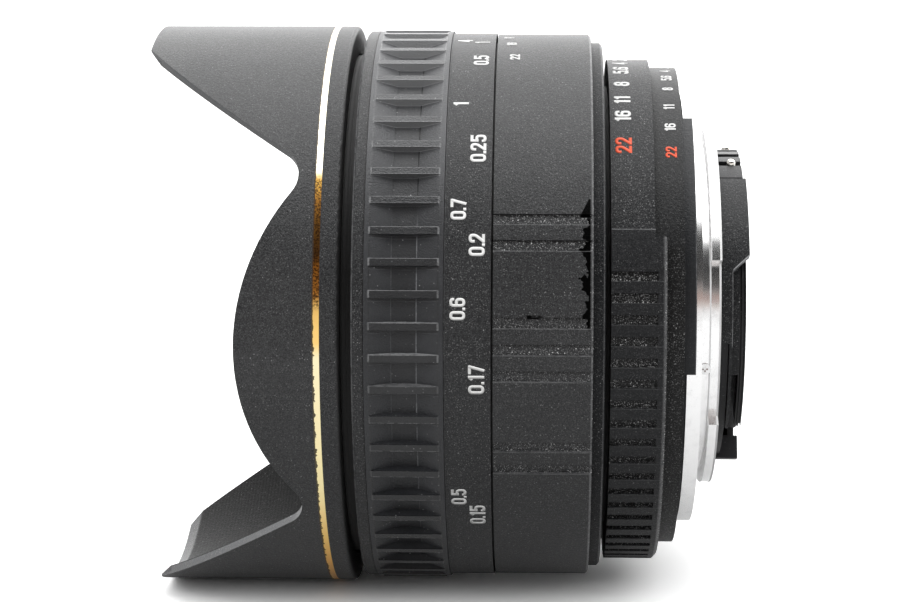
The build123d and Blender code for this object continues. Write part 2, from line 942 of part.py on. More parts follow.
with BuildPart() as contact_block:
    sector(disc_front, block_back, block_inner, block_radius, block_start, block_end)
    sector(
        block_foot_front, disc_front + seat_fit, lever_ring_radius + side_gap, block_radius,
        block_start, block_end,
    )
    for angle in contact_angles:
        radial_block(
            block_foot_front - cut_over, block_back + cut_over, block_radius - block_slot_depth,
            block_radius + cut_over, angle, block_slot_width, mode=Mode.SUBTRACT,
        )
    radial_rounds(
        pin_x, contact_angles, block_radius - pin_depth - seat_fit, block_radius + cut_over,
        pin_radius + seat_fit, mode=Mode.SUBTRACT,
    )
keep(contact_block, "contact_block")

with BuildPart() as contact_pins:
    for index, angle in enumerate(contact_angles):
        pin_top = block_radius
        if index not in raised_contacts:
            pin_top = block_radius - block_slot_depth + low_pin_stand
        radial_rounds(pin_x, [angle], block_radius - pin_depth, pin_top, pin_radius)
        if index in raised_contacts:
            with Locations(facing(angle, pin_top)):
                with Locations((pin_x, 0)):
                    Sphere(pin_radius)
keep(contact_pins, "contact_pins")

# Circuit board on the back of the web

board_inner = 19.0
board_outer = 23.6
board_thickness = 0.8
board_half_angle = 50.0

board_front = rear_ring_back + seat_fit

with BuildPart() as circuit_board:
    sector(
        board_front, board_front + board_thickness, board_inner, board_outer,
        -board_half_angle, board_half_angle,
    )
keep(circuit_board, "circuit_board")

# Lever ring, which the camera's lever turns, on the shroud's sleeve

lever_arm_start = 85.0
lever_arm_end = 161.0
lever_start = 158.0
lever_back = 6.2
lever_inner = 17.6
lever_outer = 20.6

lever_arm_radius = shroud_radius - skirt_wall - running_fit

with BuildPart() as lever_ring:
    turned(band(lever_ring_front, lever_ring_back, sleeve_radius + running_fit, lever_ring_radius))
    sector(
        lever_ring_front, lever_ring_back, lever_ring_radius - seat_fit, lever_arm_radius,
        lever_arm_start, lever_arm_end,
    )
    sector(lever_ring_front, lever_back, lever_inner, lever_outer, lever_start, lever_arm_end)
keep(lever_ring, "lever_ring")

# Retaining ring in front of the lever ring, open where the link bar swings

lever_retainer_radius = 18.4
lever_retainer_thickness = 0.7

lever_retainer_back = lever_ring_front - side_gap

with BuildPart() as lever_retainer:
    turned(band(
        lever_retainer_back - lever_retainer_thickness,
        lever_retainer_back,
        sleeve_radius + seat_fit,
        lever_retainer_radius,
    ))
    sector(
        lever_retainer_back - lever_retainer_thickness - cut_over,
        lever_retainer_back + cut_over,
        sleeve_radius - cut_over,
        shroud_radius,
        link_angle - lever_turn - link_half_angle,
        link_angle + link_half_angle,
        mode=Mode.SUBTRACT,
    )
keep(lever_retainer, "lever_retainer")

# Aperture ring: scale part, rear band, knurled finger block, meter ridge and a lip that
# holds it on the hub

aperture_scale_rise = 3.5
rear_band_rise = 2.5
knurl_rise = 4.7
knurl_start = 65.5
knurl_rim_start = 67.0
knurl_rim_length = 1.4
knurl_corner = 0.5
knurl_first = 75.4
knurl_count = 48
knurl_run_out = 0.3  # the grooves run this far into the raised rim
knurl_groove_share = 0.45
knurl_depth = 0.6
ridge_start = 30.0
ridge_end = 97.6
ridge_wall = 1.25
lock_angle = 300.0
lock_width = 4.0
lock_length = 2.2
lock_travel = 1.5
lock_front_gap = 1.0
lock_depth = 1.1
lock_rise = 0.8

aperture_bore = hub_radius + running_fit
aperture_radius = hub_radius + aperture_scale_rise
rear_band_radius = hub_radius + rear_band_rise
knurl_radius = hub_radius + knurl_rise
lip_bore = tail_radius + side_gap
lip_radius = flange_rim + side_gap
ridge_radius = lip_radius + ridge_wall
knurl_back = scale_part_back + knurl_rim_length
knurl_pitch = (360 - 2 * knurl_first) / (knurl_count - 1)
knurl_groove_width = knurl_radius * radians(knurl_pitch) * knurl_groove_share
lock_front = aperture_front + lock_front_gap
lock_back = lock_front + lock_length

with BuildPart() as aperture_ring:
    turned([
        (aperture_front, aperture_bore),
        (tail_front + side_gap, aperture_bore),
        (tail_front + side_gap, lip_bore),
        (hub_back - side_gap, lip_bore),
        (hub_back - side_gap, lip_radius),
        (aperture_back, lip_radius),
        (aperture_back, rear_band_radius),
        (scale_part_back, rear_band_radius),
        (scale_part_back, aperture_radius),
        (aperture_front, aperture_radius),
    ])
    turned(
        [
            (scale_part_back - seat_fit, rear_band_radius - seat_fit),
            (knurl_back, rear_band_radius - seat_fit),
            (knurl_back, knurl_radius - knurl_corner),
            (knurl_back - knurl_corner, knurl_radius),
            (scale_part_back - seat_fit, knurl_radius),
        ],
        start=knurl_rim_start,
        arc=360 - 2 * knurl_rim_start,
    )
    sector(
        aperture_front, scale_part_back, rear_band_radius - seat_fit, knurl_radius,
        knurl_start, 360 - knurl_start,
    )
    with BuildSketch(across(aperture_front)) as knurls:
        for groove in range(knurl_count):
            with PolarLocations(knurl_radius, 1, knurl_first + groove * knurl_pitch + 90):
                Rectangle(2 * knurl_depth, knurl_groove_width)
    extrude(knurls.sketch, amount=scale_part_length + knurl_run_out, mode=Mode.SUBTRACT)
    sector(
        aperture_back - side_gap, ridge_back, lip_radius, ridge_radius, ridge_start, ridge_end
    )
    radial_block(
        lock_front - side_gap,
        lock_back + lock_travel + side_gap,
        aperture_radius - lock_depth,
        aperture_radius + cut_over,
        lock_angle,
        lock_width + 2 * key_fit,
        mode=Mode.SUBTRACT,
    )
keep(aperture_ring, "aperture_ring")

with BuildPart() as aperture_lock:
    radial_block(
        lock_front,
        lock_back,
        aperture_radius - lock_depth + running_fit,
        aperture_radius + lock_rise,
        lock_angle,
        lock_width,
    )
keep(aperture_lock, "aperture_lock")

# Focus drive: shaft, pinion, idler on its stud, and the bracket at the shaft's front end

shaft_end_gap = 0.35
coupling_head_length = 1.3
coupling_slot_width = 0.6
coupling_slot_depth = 0.8
bracket_thickness = 0.7
bracket_inner = 19.4
bracket_pillar = 1.6
bracket_width = 5.0
bracket_margin = 0.8

bracket_front = teeth_front - gear_gap - bracket_thickness
bracket_outer = coupling_radius + shaft_radius + bracket_margin
shaft_back = -shaft_end_gap


def along_axis(x, angle, radius):
    # plane square to the axis with its origin at a lens angle and radius
    return Plane((x, *on_circle(angle, radius)), x_dir=(0, 1, 0), z_dir=(1, 0, 0))


with BuildPart() as af_shaft:
    axial_rounds(bracket_front, shaft_back, coupling_radius, [coupling_angle], shaft_radius)
    axial_rounds(
        shaft_back - coupling_head_length, shaft_back, coupling_radius, [coupling_angle],
        coupling_head_radius,
    )
    with BuildSketch(along_axis(shaft_back - coupling_slot_depth, coupling_angle, coupling_radius)):
        Rectangle(2 * coupling_head_radius + cut_over, coupling_slot_width)
    extrude(amount=coupling_slot_depth + cut_over, mode=Mode.SUBTRACT)
keep(af_shaft, "af_shaft")

with BuildPart() as af_pinion:
    with BuildSketch(along_axis(teeth_front, coupling_angle, coupling_radius)):
        with BuildLine():
            Polyline(*gear_outline(pinion_teeth, pinion_first), close=True)
        make_face()
        Circle(shaft_radius + seat_fit, mode=Mode.SUBTRACT)
    extrude(amount=gear_length)
keep(af_pinion, "af_pinion")

with BuildPart() as idler_gear:
    with BuildSketch(along_axis(teeth_front, idler_angle, idler_radius)):
        with BuildLine():
            Polyline(*gear_outline(idler_teeth, idler_first), close=True)
        make_face()
        Circle(stud_radius + running_fit, mode=Mode.SUBTRACT)
    extrude(amount=gear_length)
keep(idler_gear, "idler_gear")

with BuildPart() as idler_stud:
    axial_rounds(
        teeth_front - gear_gap - stud_collar_length, rear_ring_back, idler_radius,
        [idler_angle], stud_radius,
    )
    for collar_front in (teeth_front - gear_gap - stud_collar_length, teeth_back + gear_gap):
        axial_rounds(
            collar_front, collar_front + stud_collar_length, idler_radius, [idler_angle],
            stud_collar_radius,
        )
keep(idler_stud, "idler_stud")

with BuildPart() as gear_bracket:
    radial_block(
        bracket_front, bracket_front + bracket_thickness, bracket_inner, bracket_outer,
        coupling_angle, bracket_width,
    )
    radial_block(
        bracket_front, rear_ring_front - seat_fit, bracket_inner, bracket_inner + bracket_pillar,
        coupling_angle, bracket_width,
    )
    axial_rounds(
        bracket_front - cut_over, bracket_front + bracket_thickness + cut_over, coupling_radius,
        [coupling_angle], shaft_radius + running_fit, mode=Mode.SUBTRACT,
    )
keep(gear_bracket, "gear_bracket")

# Guide keys on the front of the web, which keep the sliding lens barrel from turning

guide_key_length = 23.5
guide_key_width = 5.0
guide_key_gap = 0.3
guide_key_inset = 0.1

guide_key_front = rear_ring_front - guide_key_length
guide_key_inner = carrier_bore + guide_key_inset
guide_key_outer = helicoid_bore - guide_key_gap
guide_half_angle = half_angle(guide_key_width, guide_key_inner)
guide_slot_half_angle = half_angle(guide_key_width + 2 * key_fit, carrier_bore)

with BuildPart() as guide_keys:
    for angle in (90, 270):
        sector(
            guide_key_front, rear_ring_front - seat_fit, guide_key_inner, guide_key_outer,
            angle - guide_half_angle, angle + guide_half_angle,
        )
keep(guide_keys, "guide_keys")

# Lens shapes


def sag(height, curve):
    # how far a surface falls back at a height from the axis; a positive curve has its
    # middle foremost
    size = abs(curve) - sqrt(curve**2 - height**2)
    return size if curve > 0 else -size


def lens(front, thickness, front_curve, back_curve, front_clear, back_clear, radius):
    back = front + thickness
    front_plane = front + sag(front_clear, front_curve)
    back_plane = back + sag(back_clear, back_curve)
    with BuildSketch(meridian(0)) as section:
        with BuildLine():
            ThreePointArc(
                (front, 0),
                (front + sag(front_clear / 2, front_curve), front_clear / 2),
                (front_plane, front_clear),
            )
            Polyline(
                (front_plane, front_clear),
                (front_plane, radius),
                (back_plane, radius),
                (back_plane, back_clear),
            )
            ThreePointArc(
                (back_plane, back_clear),
                (back + sag(back_clear / 2, back_curve), back_clear / 2),
                (back, 0),
            )
            Line((back, 0), (front, 0))
        make_face()
    revolve(section.sketch, axis=Axis.X)


# Front cell: the large meniscus, its retaining ring and the second lens behind it

front_vertex_depth = 2.65  # behind the middle of the side petals
first_thickness = 2.4
first_front_share = 1.88  # curve as a share of the lens's radius
first_back_share = 1.09  # curve as a share of the hollow's radius
first_rim_share = 0.99  # share of the radius that the front curve covers
first_hollow_margin = 0.65
front_retainer_width = 1.25
front_retainer_length = 0.85
cell_bore = 15.85
cell_wall = 1.2
second_rise_share = 0.1893  # share of the cell's bore
second_thickness = 1.5
second_front_curve = 60.0
second_back_share = 1.16  # curve as a share of the hollow's radius
second_front_rim = 0.45
second_back_rim = 3.35

first_radius = carrier_bore - seat_fit
first_front = side_petal_front + front_vertex_depth
first_front_curve = first_front_share * first_radius
first_back_clear = cell_bore + first_hollow_margin
first_back_curve = first_back_share * first_back_clear
first_seat = first_front + first_thickness + sag(first_back_clear, first_back_curve) + seat_fit
front_retainer_bore = first_radius - front_retainer_width
front_retainer_back = first_front + sag(front_retainer_bore, first_front_curve) - seat_fit
carrier_front = front_retainer_back - front_retainer_length

with BuildPart() as front_element:
    lens(
        first_front, first_thickness, first_front_curve, first_back_curve,
        first_rim_share * first_radius, first_back_clear, first_radius,
    )
keep(front_element, "front_element")

with BuildPart() as front_retainer:
    turned(band(carrier_front, front_retainer_back, front_retainer_bore, first_radius))
keep(front_retainer, "front_retainer")

optic_radius = cell_bore - seat_fit
second_front_clear = cell_bore - second_front_rim
second_back_clear = cell_bore - second_back_rim
second_back_curve = second_back_share * second_back_clear
second_front = first_seat - second_rise_share * cell_bore
second_back_plane = second_front + second_thickness + sag(second_back_clear, second_back_curve)

with BuildPart() as second_element:
    lens(
        second_front, second_thickness, second_front_curve, second_back_curve,
        second_front_clear, second_back_clear, optic_radius,
    )
keep(second_element, "second_element")

# Middle cell with the third lens and its retaining ring

middle_lip = 0.8
middle_lip_margin = 0.2
third_inset = 4.35
third_rise = 0.9
third_thickness = 8.0
third_front_curve = 20.0
third_back_curve = -30.0
third_rim = 1.3
third_retainer_length = 1.2
iris_plate_gap = 0.5

third_radius = cell_bore - third_inset
third_clear = third_radius - third_rim
middle_front = second_back_plane + seat_fit
third_front = second_back_plane - third_rise
third_seat = third_front + sag(third_clear, third_front_curve) - seat_fit
third_back_plane = third_front + third_thickness + sag(third_clear, third_back_curve)
third_retainer_front = third_back_plane + seat_fit
iris_plate_front = third_front + third_thickness + iris_plate_gap
middle_back = iris_plate_front - seat_fit

with BuildPart() as middle_cell:
    turned([
        (middle_front, second_back_clear + middle_lip_margin),
        (third_seat - middle_lip, third_clear + middle_lip_margin),
        (third_seat, third_clear + middle_lip_margin),
        (third_seat, third_radius + seat_fit),
        (middle_back, third_radius + seat_fit),
        (middle_back, optic_radius),
        (middle_front, optic_radius),
    ])
keep(middle_cell, "middle_cell")

with BuildPart() as third_element:
    lens(
        third_front, third_thickness, third_front_curve, third_back_curve,
        third_clear, third_clear, third_radius,
    )
keep(third_element, "third_element")

with BuildPart() as third_retainer:
    turned(band(
        third_retainer_front, third_retainer_front + third_retainer_length,
        third_clear + middle_lip_margin, third_radius,
    ))
keep(third_retainer, "third_retainer")

# Iris: a plate with pivot holes, seven blades in layers and a drive ring with cam slots

blade_count = 7
blade_turn = 22.0
blade_layer = 0.2
blade_thickness = 0.12
blade_gap = 0.05
blade_span = 130.0
blade_tab_start = -3.0
blade_tab_end = 12.5
blade_tab_inset = 1.15  # from the cell's bore, as the next three are
blade_inset = 3.85
pivot_inset = 2.45
drive_ring_inset = 3.45
blade_clearance = 0.1
iris_opening = 5.6
iris_plate_thickness = 0.6
pivot_radius = 0.4
pivot_first_angle = 12.0
drive_pin_radius = 0.35
drive_pin_reach = 2.2
drive_ring_thickness = 0.8
drive_pin_length = 0.6
drive_arm_outer = 19.2
drive_arm_cheek = 0.9
iris_retainer_length = 1.2
iris_retainer_gap = 0.2

blade_tab_radius = cell_bore - blade_tab_inset
blade_outer = cell_bore - blade_inset
pivot_circle = cell_bore - pivot_inset
drive_ring_bore = cell_bore - drive_ring_inset
iris_plate_back = iris_plate_front + iris_plate_thickness
drive_ring_front = iris_plate_back + 2 * blade_gap + blade_count * blade_layer
drive_ring_back = drive_ring_front + drive_ring_thickness
drive_ring_radius = cell_bore - running_fit
iris_retainer_front = drive_ring_back + side_gap
iris_retainer_back = iris_retainer_front + iris_retainer_length
tube_end = iris_retainer_back + iris_retainer_gap
blade_angles = [pivot_first_angle + index * 360 / blade_count for index in range(blade_count)]
drive_arm_width = link_width + 2 * key_fit + 2 * drive_arm_cheek
drive_arm_half_angle = half_angle(drive_arm_width, cell_bore)


def drive_pin_place(angle, done, seen_from_ring=False):
    # the drive pin of the blade that pivots at a lens angle, with a share of the turn done
    pivot_y, pivot_z = on_circle(angle, pivot_circle)
    pin_y, pin_z = on_circle(angle + 90 + blade_turn * (done - 1 / 2), drive_pin_reach)
    y, z = pivot_y + pin_y, pivot_z + pin_z
    if not seen_from_ring:
        return y, z
    back_turn = radians(lever_turn * done)
    return y * cos(back_turn) - z * sin(back_turn), y * sin(back_turn) + z * cos(back_turn)


with BuildPart() as iris_plate:
    turned(band(iris_plate_front, iris_plate_back, iris_opening, optic_radius))
    axial_rounds(
        iris_plate_front - cut_over, iris_plate_back + cut_over, pivot_circle, blade_angles,
        pivot_radius + running_fit, mode=Mode.SUBTRACT,
    )
keep(iris_plate, "iris_plate")

for index, angle in enumerate(blade_angles):
    blade_front = iris_plate_back + blade_gap + index * blade_layer
    blade_back = blade_front + blade_thickness
    with BuildPart() as iris_blade:
        sector(
            blade_front, blade_back, iris_opening + blade_clearance, blade_outer,
            angle + blade_tab_start, angle + blade_span,
        )
        sector(
            blade_front, blade_back, blade_outer - blade_clearance, blade_tab_radius,
            angle + blade_tab_start, angle + blade_tab_end,
        )
        axial_rounds(iris_plate_front, blade_back, pivot_circle, [angle], pivot_radius)
        with BuildSketch(across(blade_front)) as drive_pin:
            with Locations(drive_pin_place(angle, 0)):
                Circle(drive_pin_radius)
        extrude(drive_pin.sketch, amount=drive_ring_front + drive_pin_length - blade_front)
    keep(iris_blade, f"iris_blade_{index + 1}")

with BuildPart() as iris_drive_ring:
    turned(band(drive_ring_front, drive_ring_back, drive_ring_bore, drive_ring_radius))
    radial_block(
        drive_ring_front, drive_ring_back, drive_ring_bore + cut_over, drive_arm_outer,
        link_angle, drive_arm_width,
    )
    radial_block(
        drive_ring_front - cut_over, drive_ring_back + cut_over, link_inner - link_gap,
        drive_arm_outer + cut_over, link_angle, link_width + 2 * key_fit, mode=Mode.SUBTRACT,
    )
    for angle in blade_angles:
        cam_path = ThreePointArc(
            drive_pin_place(angle, 0, seen_from_ring=True),
            drive_pin_place(angle, 1 / 2, seen_from_ring=True),
            drive_pin_place(angle, 1, seen_from_ring=True),
        )
        with BuildSketch(across(drive_ring_front)) as cam_slot:
            SlotArc(cam_path, 2 * (drive_pin_radius + running_fit))
        extrude(cam_slot.sketch, amount=drive_ring_thickness, mode=Mode.SUBTRACT)
keep(iris_drive_ring, "iris_drive_ring")

with BuildPart() as iris_retainer:
    turned(band(iris_retainer_front, iris_retainer_back, drive_ring_bore, optic_radius))
keep(iris_retainer, "iris_retainer")

# Lens barrel: slides in the helicoid ring and carries the cells

seat_web_thickness = 1.5
carrier_gear_gap = 1.25

carrier_back = teeth_front - carrier_gear_gap
tube_outer = cell_bore + cell_wall

with BuildPart() as lens_barrel:
    turned([
        (carrier_front, carrier_bore),
        (first_seat, carrier_bore),
        (first_seat, cell_bore),
        (tube_end, cell_bore),
        (tube_end, tube_outer),
        (first_seat + seat_web_thickness, tube_outer),
        (first_seat + seat_web_thickness, carrier_bore),
        (carrier_back, carrier_bore),
        (carrier_back, carrier_radius),
        (carrier_front, carrier_radius),
    ])
    for angle in (90, 270):
        sector(
            guide_key_front - guide_key_gap,
            carrier_back + cut_over,
            carrier_bore - cut_over,
            carrier_radius + cut_over,
            angle - guide_slot_half_angle,
            angle + guide_slot_half_angle,
            mode=Mode.SUBTRACT,
        )
    sector(
        drive_ring_front - side_gap,
        drive_ring_back + side_gap,
        cell_bore - cut_over,
        tube_outer + cut_over,
        link_angle - lever_turn - drive_arm_half_angle - block_gap,
        link_angle + drive_arm_half_angle + block_gap,
        mode=Mode.SUBTRACT,
    )
keep(lens_barrel, "lens_barrel")

# Link bar from the lever ring to the iris's drive ring, long enough for the focus travel

link_front = drive_ring_front - focus_travel - cut_over

with BuildPart() as link_bar:
    radial_block(
        link_front, lever_ring_front - seat_fit, link_inner, link_outer, link_angle, link_width
    )
keep(link_bar, "link_bar")

# Rear cell with the fourth lens, the cemented pair and the last lens

rear_flange_thickness = 1.5
rear_cell_gap = 1.4  # inside the sleeve
rear_cell_wall = 2.18
rear_lip_margin = 0.2
fourth_gap = 1.5
fourth_inset = 3.0  # smaller than the last lens, as the pair is
fifth_inset = 1.5
fourth_thickness = 3.4
fourth_front_curve = 22.0
fourth_back_curve = -40.0
fourth_rim = 1.0
fourth_retainer_length = 1.1
fifth_gap = 0.7
fifth_thickness = 7.5
fifth_front_curve = 24.0
fifth_rim = 1.5
pair_curve = -16.0
pair_rim = 0.1
sixth_thickness = 1.5
sixth_back_curve = -60.0
sixth_rim = 0.9
doublet_retainer_length = 1.2
seventh_gap = 0.3
seventh_thickness = 4.4
seventh_front_curve = 45.0
seventh_back_curve = -45.0
seventh_rim = 1.5
rear_retainer_length = 1.2
rear_cell_overlength = 0.1

rear_cell_radius = sleeve_bore - rear_cell_gap
seventh_radius = rear_cell_radius - rear_cell_wall - seat_fit
fifth_radius = seventh_radius - fifth_inset
fourth_radius = seventh_radius - fourth_inset
fourth_clear = fourth_radius - fourth_rim
fifth_front_clear = fifth_radius - fifth_rim
pair_clear = fifth_radius - pair_rim
sixth_clear = fifth_radius - sixth_rim
seventh_clear = seventh_radius - seventh_rim
fourth_front = iris_retainer_back + fourth_gap
fourth_seat = fourth_front + sag(fourth_clear, fourth_front_curve) - seat_fit
fourth_back = fourth_front + fourth_thickness
fourth_retainer_front = fourth_back + sag(fourth_clear, fourth_back_curve) + seat_fit
fifth_front = fourth_back + fifth_gap
fifth_seat = fifth_front + sag(fifth_front_clear, fifth_front_curve) - seat_fit
sixth_front = fifth_front + fifth_thickness + seat_fit
sixth_back = sixth_front + sixth_thickness
doublet_retainer_front = sixth_back + sag(sixth_clear, sixth_back_curve) + seat_fit
seventh_front = sixth_back + seventh_gap
seventh_seat = seventh_front + sag(seventh_clear, seventh_front_curve) - seat_fit
seventh_back = seventh_front + seventh_thickness
rear_retainer_front = seventh_back + sag(seventh_clear, seventh_back_curve) + seat_fit
rear_cell_front = tube_end + seat_fit
rear_cell_back = rear_retainer_front + rear_retainer_length + rear_cell_overlength

with BuildPart() as rear_lens_cell:
    turned([
        (rear_cell_front, fourth_clear + rear_lip_margin),
        (fourth_seat, fourth_clear + rear_lip_margin),
        (fourth_seat, fourth_radius + seat_fit),
        (fifth_seat, fourth_radius + seat_fit),
        (fifth_seat, fifth_radius + seat_fit),
        (seventh_seat, fifth_radius + seat_fit),
        (seventh_seat, seventh_radius + seat_fit),
        (rear_cell_back, seventh_radius + seat_fit),
        (rear_cell_back, rear_cell_radius),
        (rear_cell_front + rear_flange_thickness, rear_cell_radius),
        (rear_cell_front + rear_flange_thickness, tube_outer),
        (rear_cell_front, tube_outer),
    ])
keep(rear_lens_cell, "rear_lens_cell")

with BuildPart() as fourth_element:
    lens(
        fourth_front, fourth_thickness, fourth_front_curve, fourth_back_curve,
        fourth_clear, fourth_clear, fourth_radius,
    )
keep(fourth_element, "fourth_element")

with BuildPart() as fourth_retainer:
    turned(band(
        fourth_retainer_front, fourth_retainer_front + fourth_retainer_length,
        fourth_clear + rear_lip_margin, fourth_radius,
    ))
keep(fourth_retainer, "fourth_retainer")

with BuildPart() as fifth_element:
    lens(
        fifth_front, fifth_thickness, fifth_front_curve, pair_curve,
        fifth_front_clear, pair_clear, fifth_radius,
    )
keep(fifth_element, "fifth_element")

with BuildPart() as sixth_element:
    lens(
        sixth_front, sixth_thickness, pair_curve, sixth_back_curve,
        pair_clear, sixth_clear, fifth_radius,
    )
keep(sixth_element, "sixth_element")

with BuildPart() as doublet_retainer:
    turned(band(
        doublet_retainer_front, doublet_retainer_front + doublet_retainer_length,
        sixth_clear, fifth_radius,
    ))
keep(doublet_retainer, "doublet_retainer")

with BuildPart() as seventh_element:
    lens(
        seventh_front, seventh_thickness, seventh_front_curve, seventh_back_curve,
        seventh_clear, seventh_clear, seventh_radius,
    )
keep(seventh_element, "seventh_element")

with BuildPart() as rear_retainer:
    turned(band(
        rear_retainer_front, rear_retainer_front + rear_retainer_length,
        seventh_clear, seventh_radius,
    ))
keep(rear_retainer, "rear_retainer")
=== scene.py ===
import math

import bmesh
import bpy
from mathutils import Matrix, Vector


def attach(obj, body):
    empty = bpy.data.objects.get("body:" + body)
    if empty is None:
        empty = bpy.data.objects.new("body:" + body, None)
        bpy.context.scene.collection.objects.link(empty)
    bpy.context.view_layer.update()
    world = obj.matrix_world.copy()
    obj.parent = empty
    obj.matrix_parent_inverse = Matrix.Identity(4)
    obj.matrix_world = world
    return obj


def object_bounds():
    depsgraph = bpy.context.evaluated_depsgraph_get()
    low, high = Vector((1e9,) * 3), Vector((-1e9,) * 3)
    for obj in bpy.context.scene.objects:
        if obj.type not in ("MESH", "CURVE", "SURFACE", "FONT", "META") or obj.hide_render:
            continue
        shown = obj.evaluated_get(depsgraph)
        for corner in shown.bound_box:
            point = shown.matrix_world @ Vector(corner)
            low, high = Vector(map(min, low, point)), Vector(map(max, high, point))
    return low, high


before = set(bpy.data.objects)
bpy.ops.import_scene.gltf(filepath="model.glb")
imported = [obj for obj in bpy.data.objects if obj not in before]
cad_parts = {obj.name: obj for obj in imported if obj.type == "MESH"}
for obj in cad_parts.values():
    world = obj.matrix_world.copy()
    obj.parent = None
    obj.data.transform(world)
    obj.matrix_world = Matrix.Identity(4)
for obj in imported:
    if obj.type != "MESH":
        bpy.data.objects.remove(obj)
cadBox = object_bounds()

# A worn fisheye lens with a petal hood, lying level on a white table. X runs along the
# optical axis with the front at -X, Z is up. An angle on the lens is counted in degrees
# from its top index towards -Y, the side that the camera sees.

mm = 0.001

print("stage: frame loaded,", len(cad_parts), "nodes")


def placed(name, data):   # a new object in the scene
    thing = bpy.data.objects.new(name, data)
    bpy.context.collection.objects.link(thing)
    return thing


# Camera

camera = {
    "distance": 317.4 * mm,   # from the optical axis
    "along": -19.35 * mm,     # the camera's place along the axis
    "elevation": 8.9,         # degrees above the horizon
    "turn": 2.24,             # degrees towards the hood
    "tilt": 0.055,            # degrees, the aim below the axis
    "roll": 0.315,            # degrees
    "lens": 95.1,             # millimetres
    "sensor": 36.0,
    "near": 5 * mm,           # nothing closer is seen
}


def addCamera(setup):
    data = bpy.data.cameras.new("camera")
    data.lens = setup["lens"]
    data.sensor_width = setup["sensor"]
    data.clip_start = setup["near"]
    body = placed("camera", data)
    rise = math.radians(setup["elevation"])
    distance = setup["distance"]
    place = Vector((setup["along"], -distance * math.cos(rise), distance * math.sin(rise)))
    pose = Matrix.Translation(place) @ Matrix.Rotation(math.radians(90) - rise, 4, "X")
    for key, axis in (("turn", "Y"), ("tilt", "X"), ("roll", "Z")):
        pose = pose @ Matrix.Rotation(math.radians(setup[key]), 4, axis)
    body.matrix_world = pose
    bpy.context.scene.camera = body


addCamera(camera)


# Shader maths: a wire is a socket that can be used in Python expressions

speck = {
    "core": 0.35,    # share of a grain of dust that isn't faded
    "power": 3.0,    # a higher one leaves fewer bright grains
    "faint": 0.15,   # brightness of the faintest
}


class Wire:
    def __init__(self, bench, socket):
        self.bench = bench
        self.socket = socket

    def math(self, operation, *others, clamp=False):
        return self.bench.node("ShaderNodeMath", {"operation": operation, "use_clamp": clamp},
                               self, *others)

    def __add__(self, other):
        return self.math("ADD", other)

    def __radd__(self, other):
        return self.math("ADD", other)

    def __sub__(self, other):
        return self.math("SUBTRACT", other)

    def __rsub__(self, other):
        return self.bench.node("ShaderNodeMath", {"operation": "SUBTRACT"}, other, self)

    def __mul__(self, other):
        return self.math("MULTIPLY", other)

    def __rmul__(self, other):
        return self.math("MULTIPLY", other)

    def __truediv__(self, other):
        return self.math("DIVIDE", other)

    def __neg__(self):
        return self.math("MULTIPLY", -1.0)

    def __abs__(self):
        return self.math("ABSOLUTE")

    def most(self, other):
        return self.math("MAXIMUM", other)

    def least(self, other):
        return self.math("MINIMUM", other)

    def clamped(self):
        return self.math("ADD", 0.0, clamp=True)

    def rise(self, start, end):   # 0 below start, 1 above end, smooth between
        return self.bench.node(
            "ShaderNodeMapRange", {"interpolation_type": "SMOOTHSTEP"},
            Value=self, **{"From Min": start, "From Max": end})

    def inside(self, low, high, soft):   # 1 between low and high, with soft borders
        return self.rise(low - soft, low + soft) * (1.0 - self.rise(high - soft, high + soft))

    def climb(self, span):   # rise over a span in millimetres
        return self.rise(*(value * mm for value in span))

    def strip(self, span):   # inside a span in millimetres
        return self.inside(*(value * mm for value in span))

    def phase(self, period):   # -0.5 to 0.5 in each period
        return (self / period + 0.5).math("FRACT") - 0.5


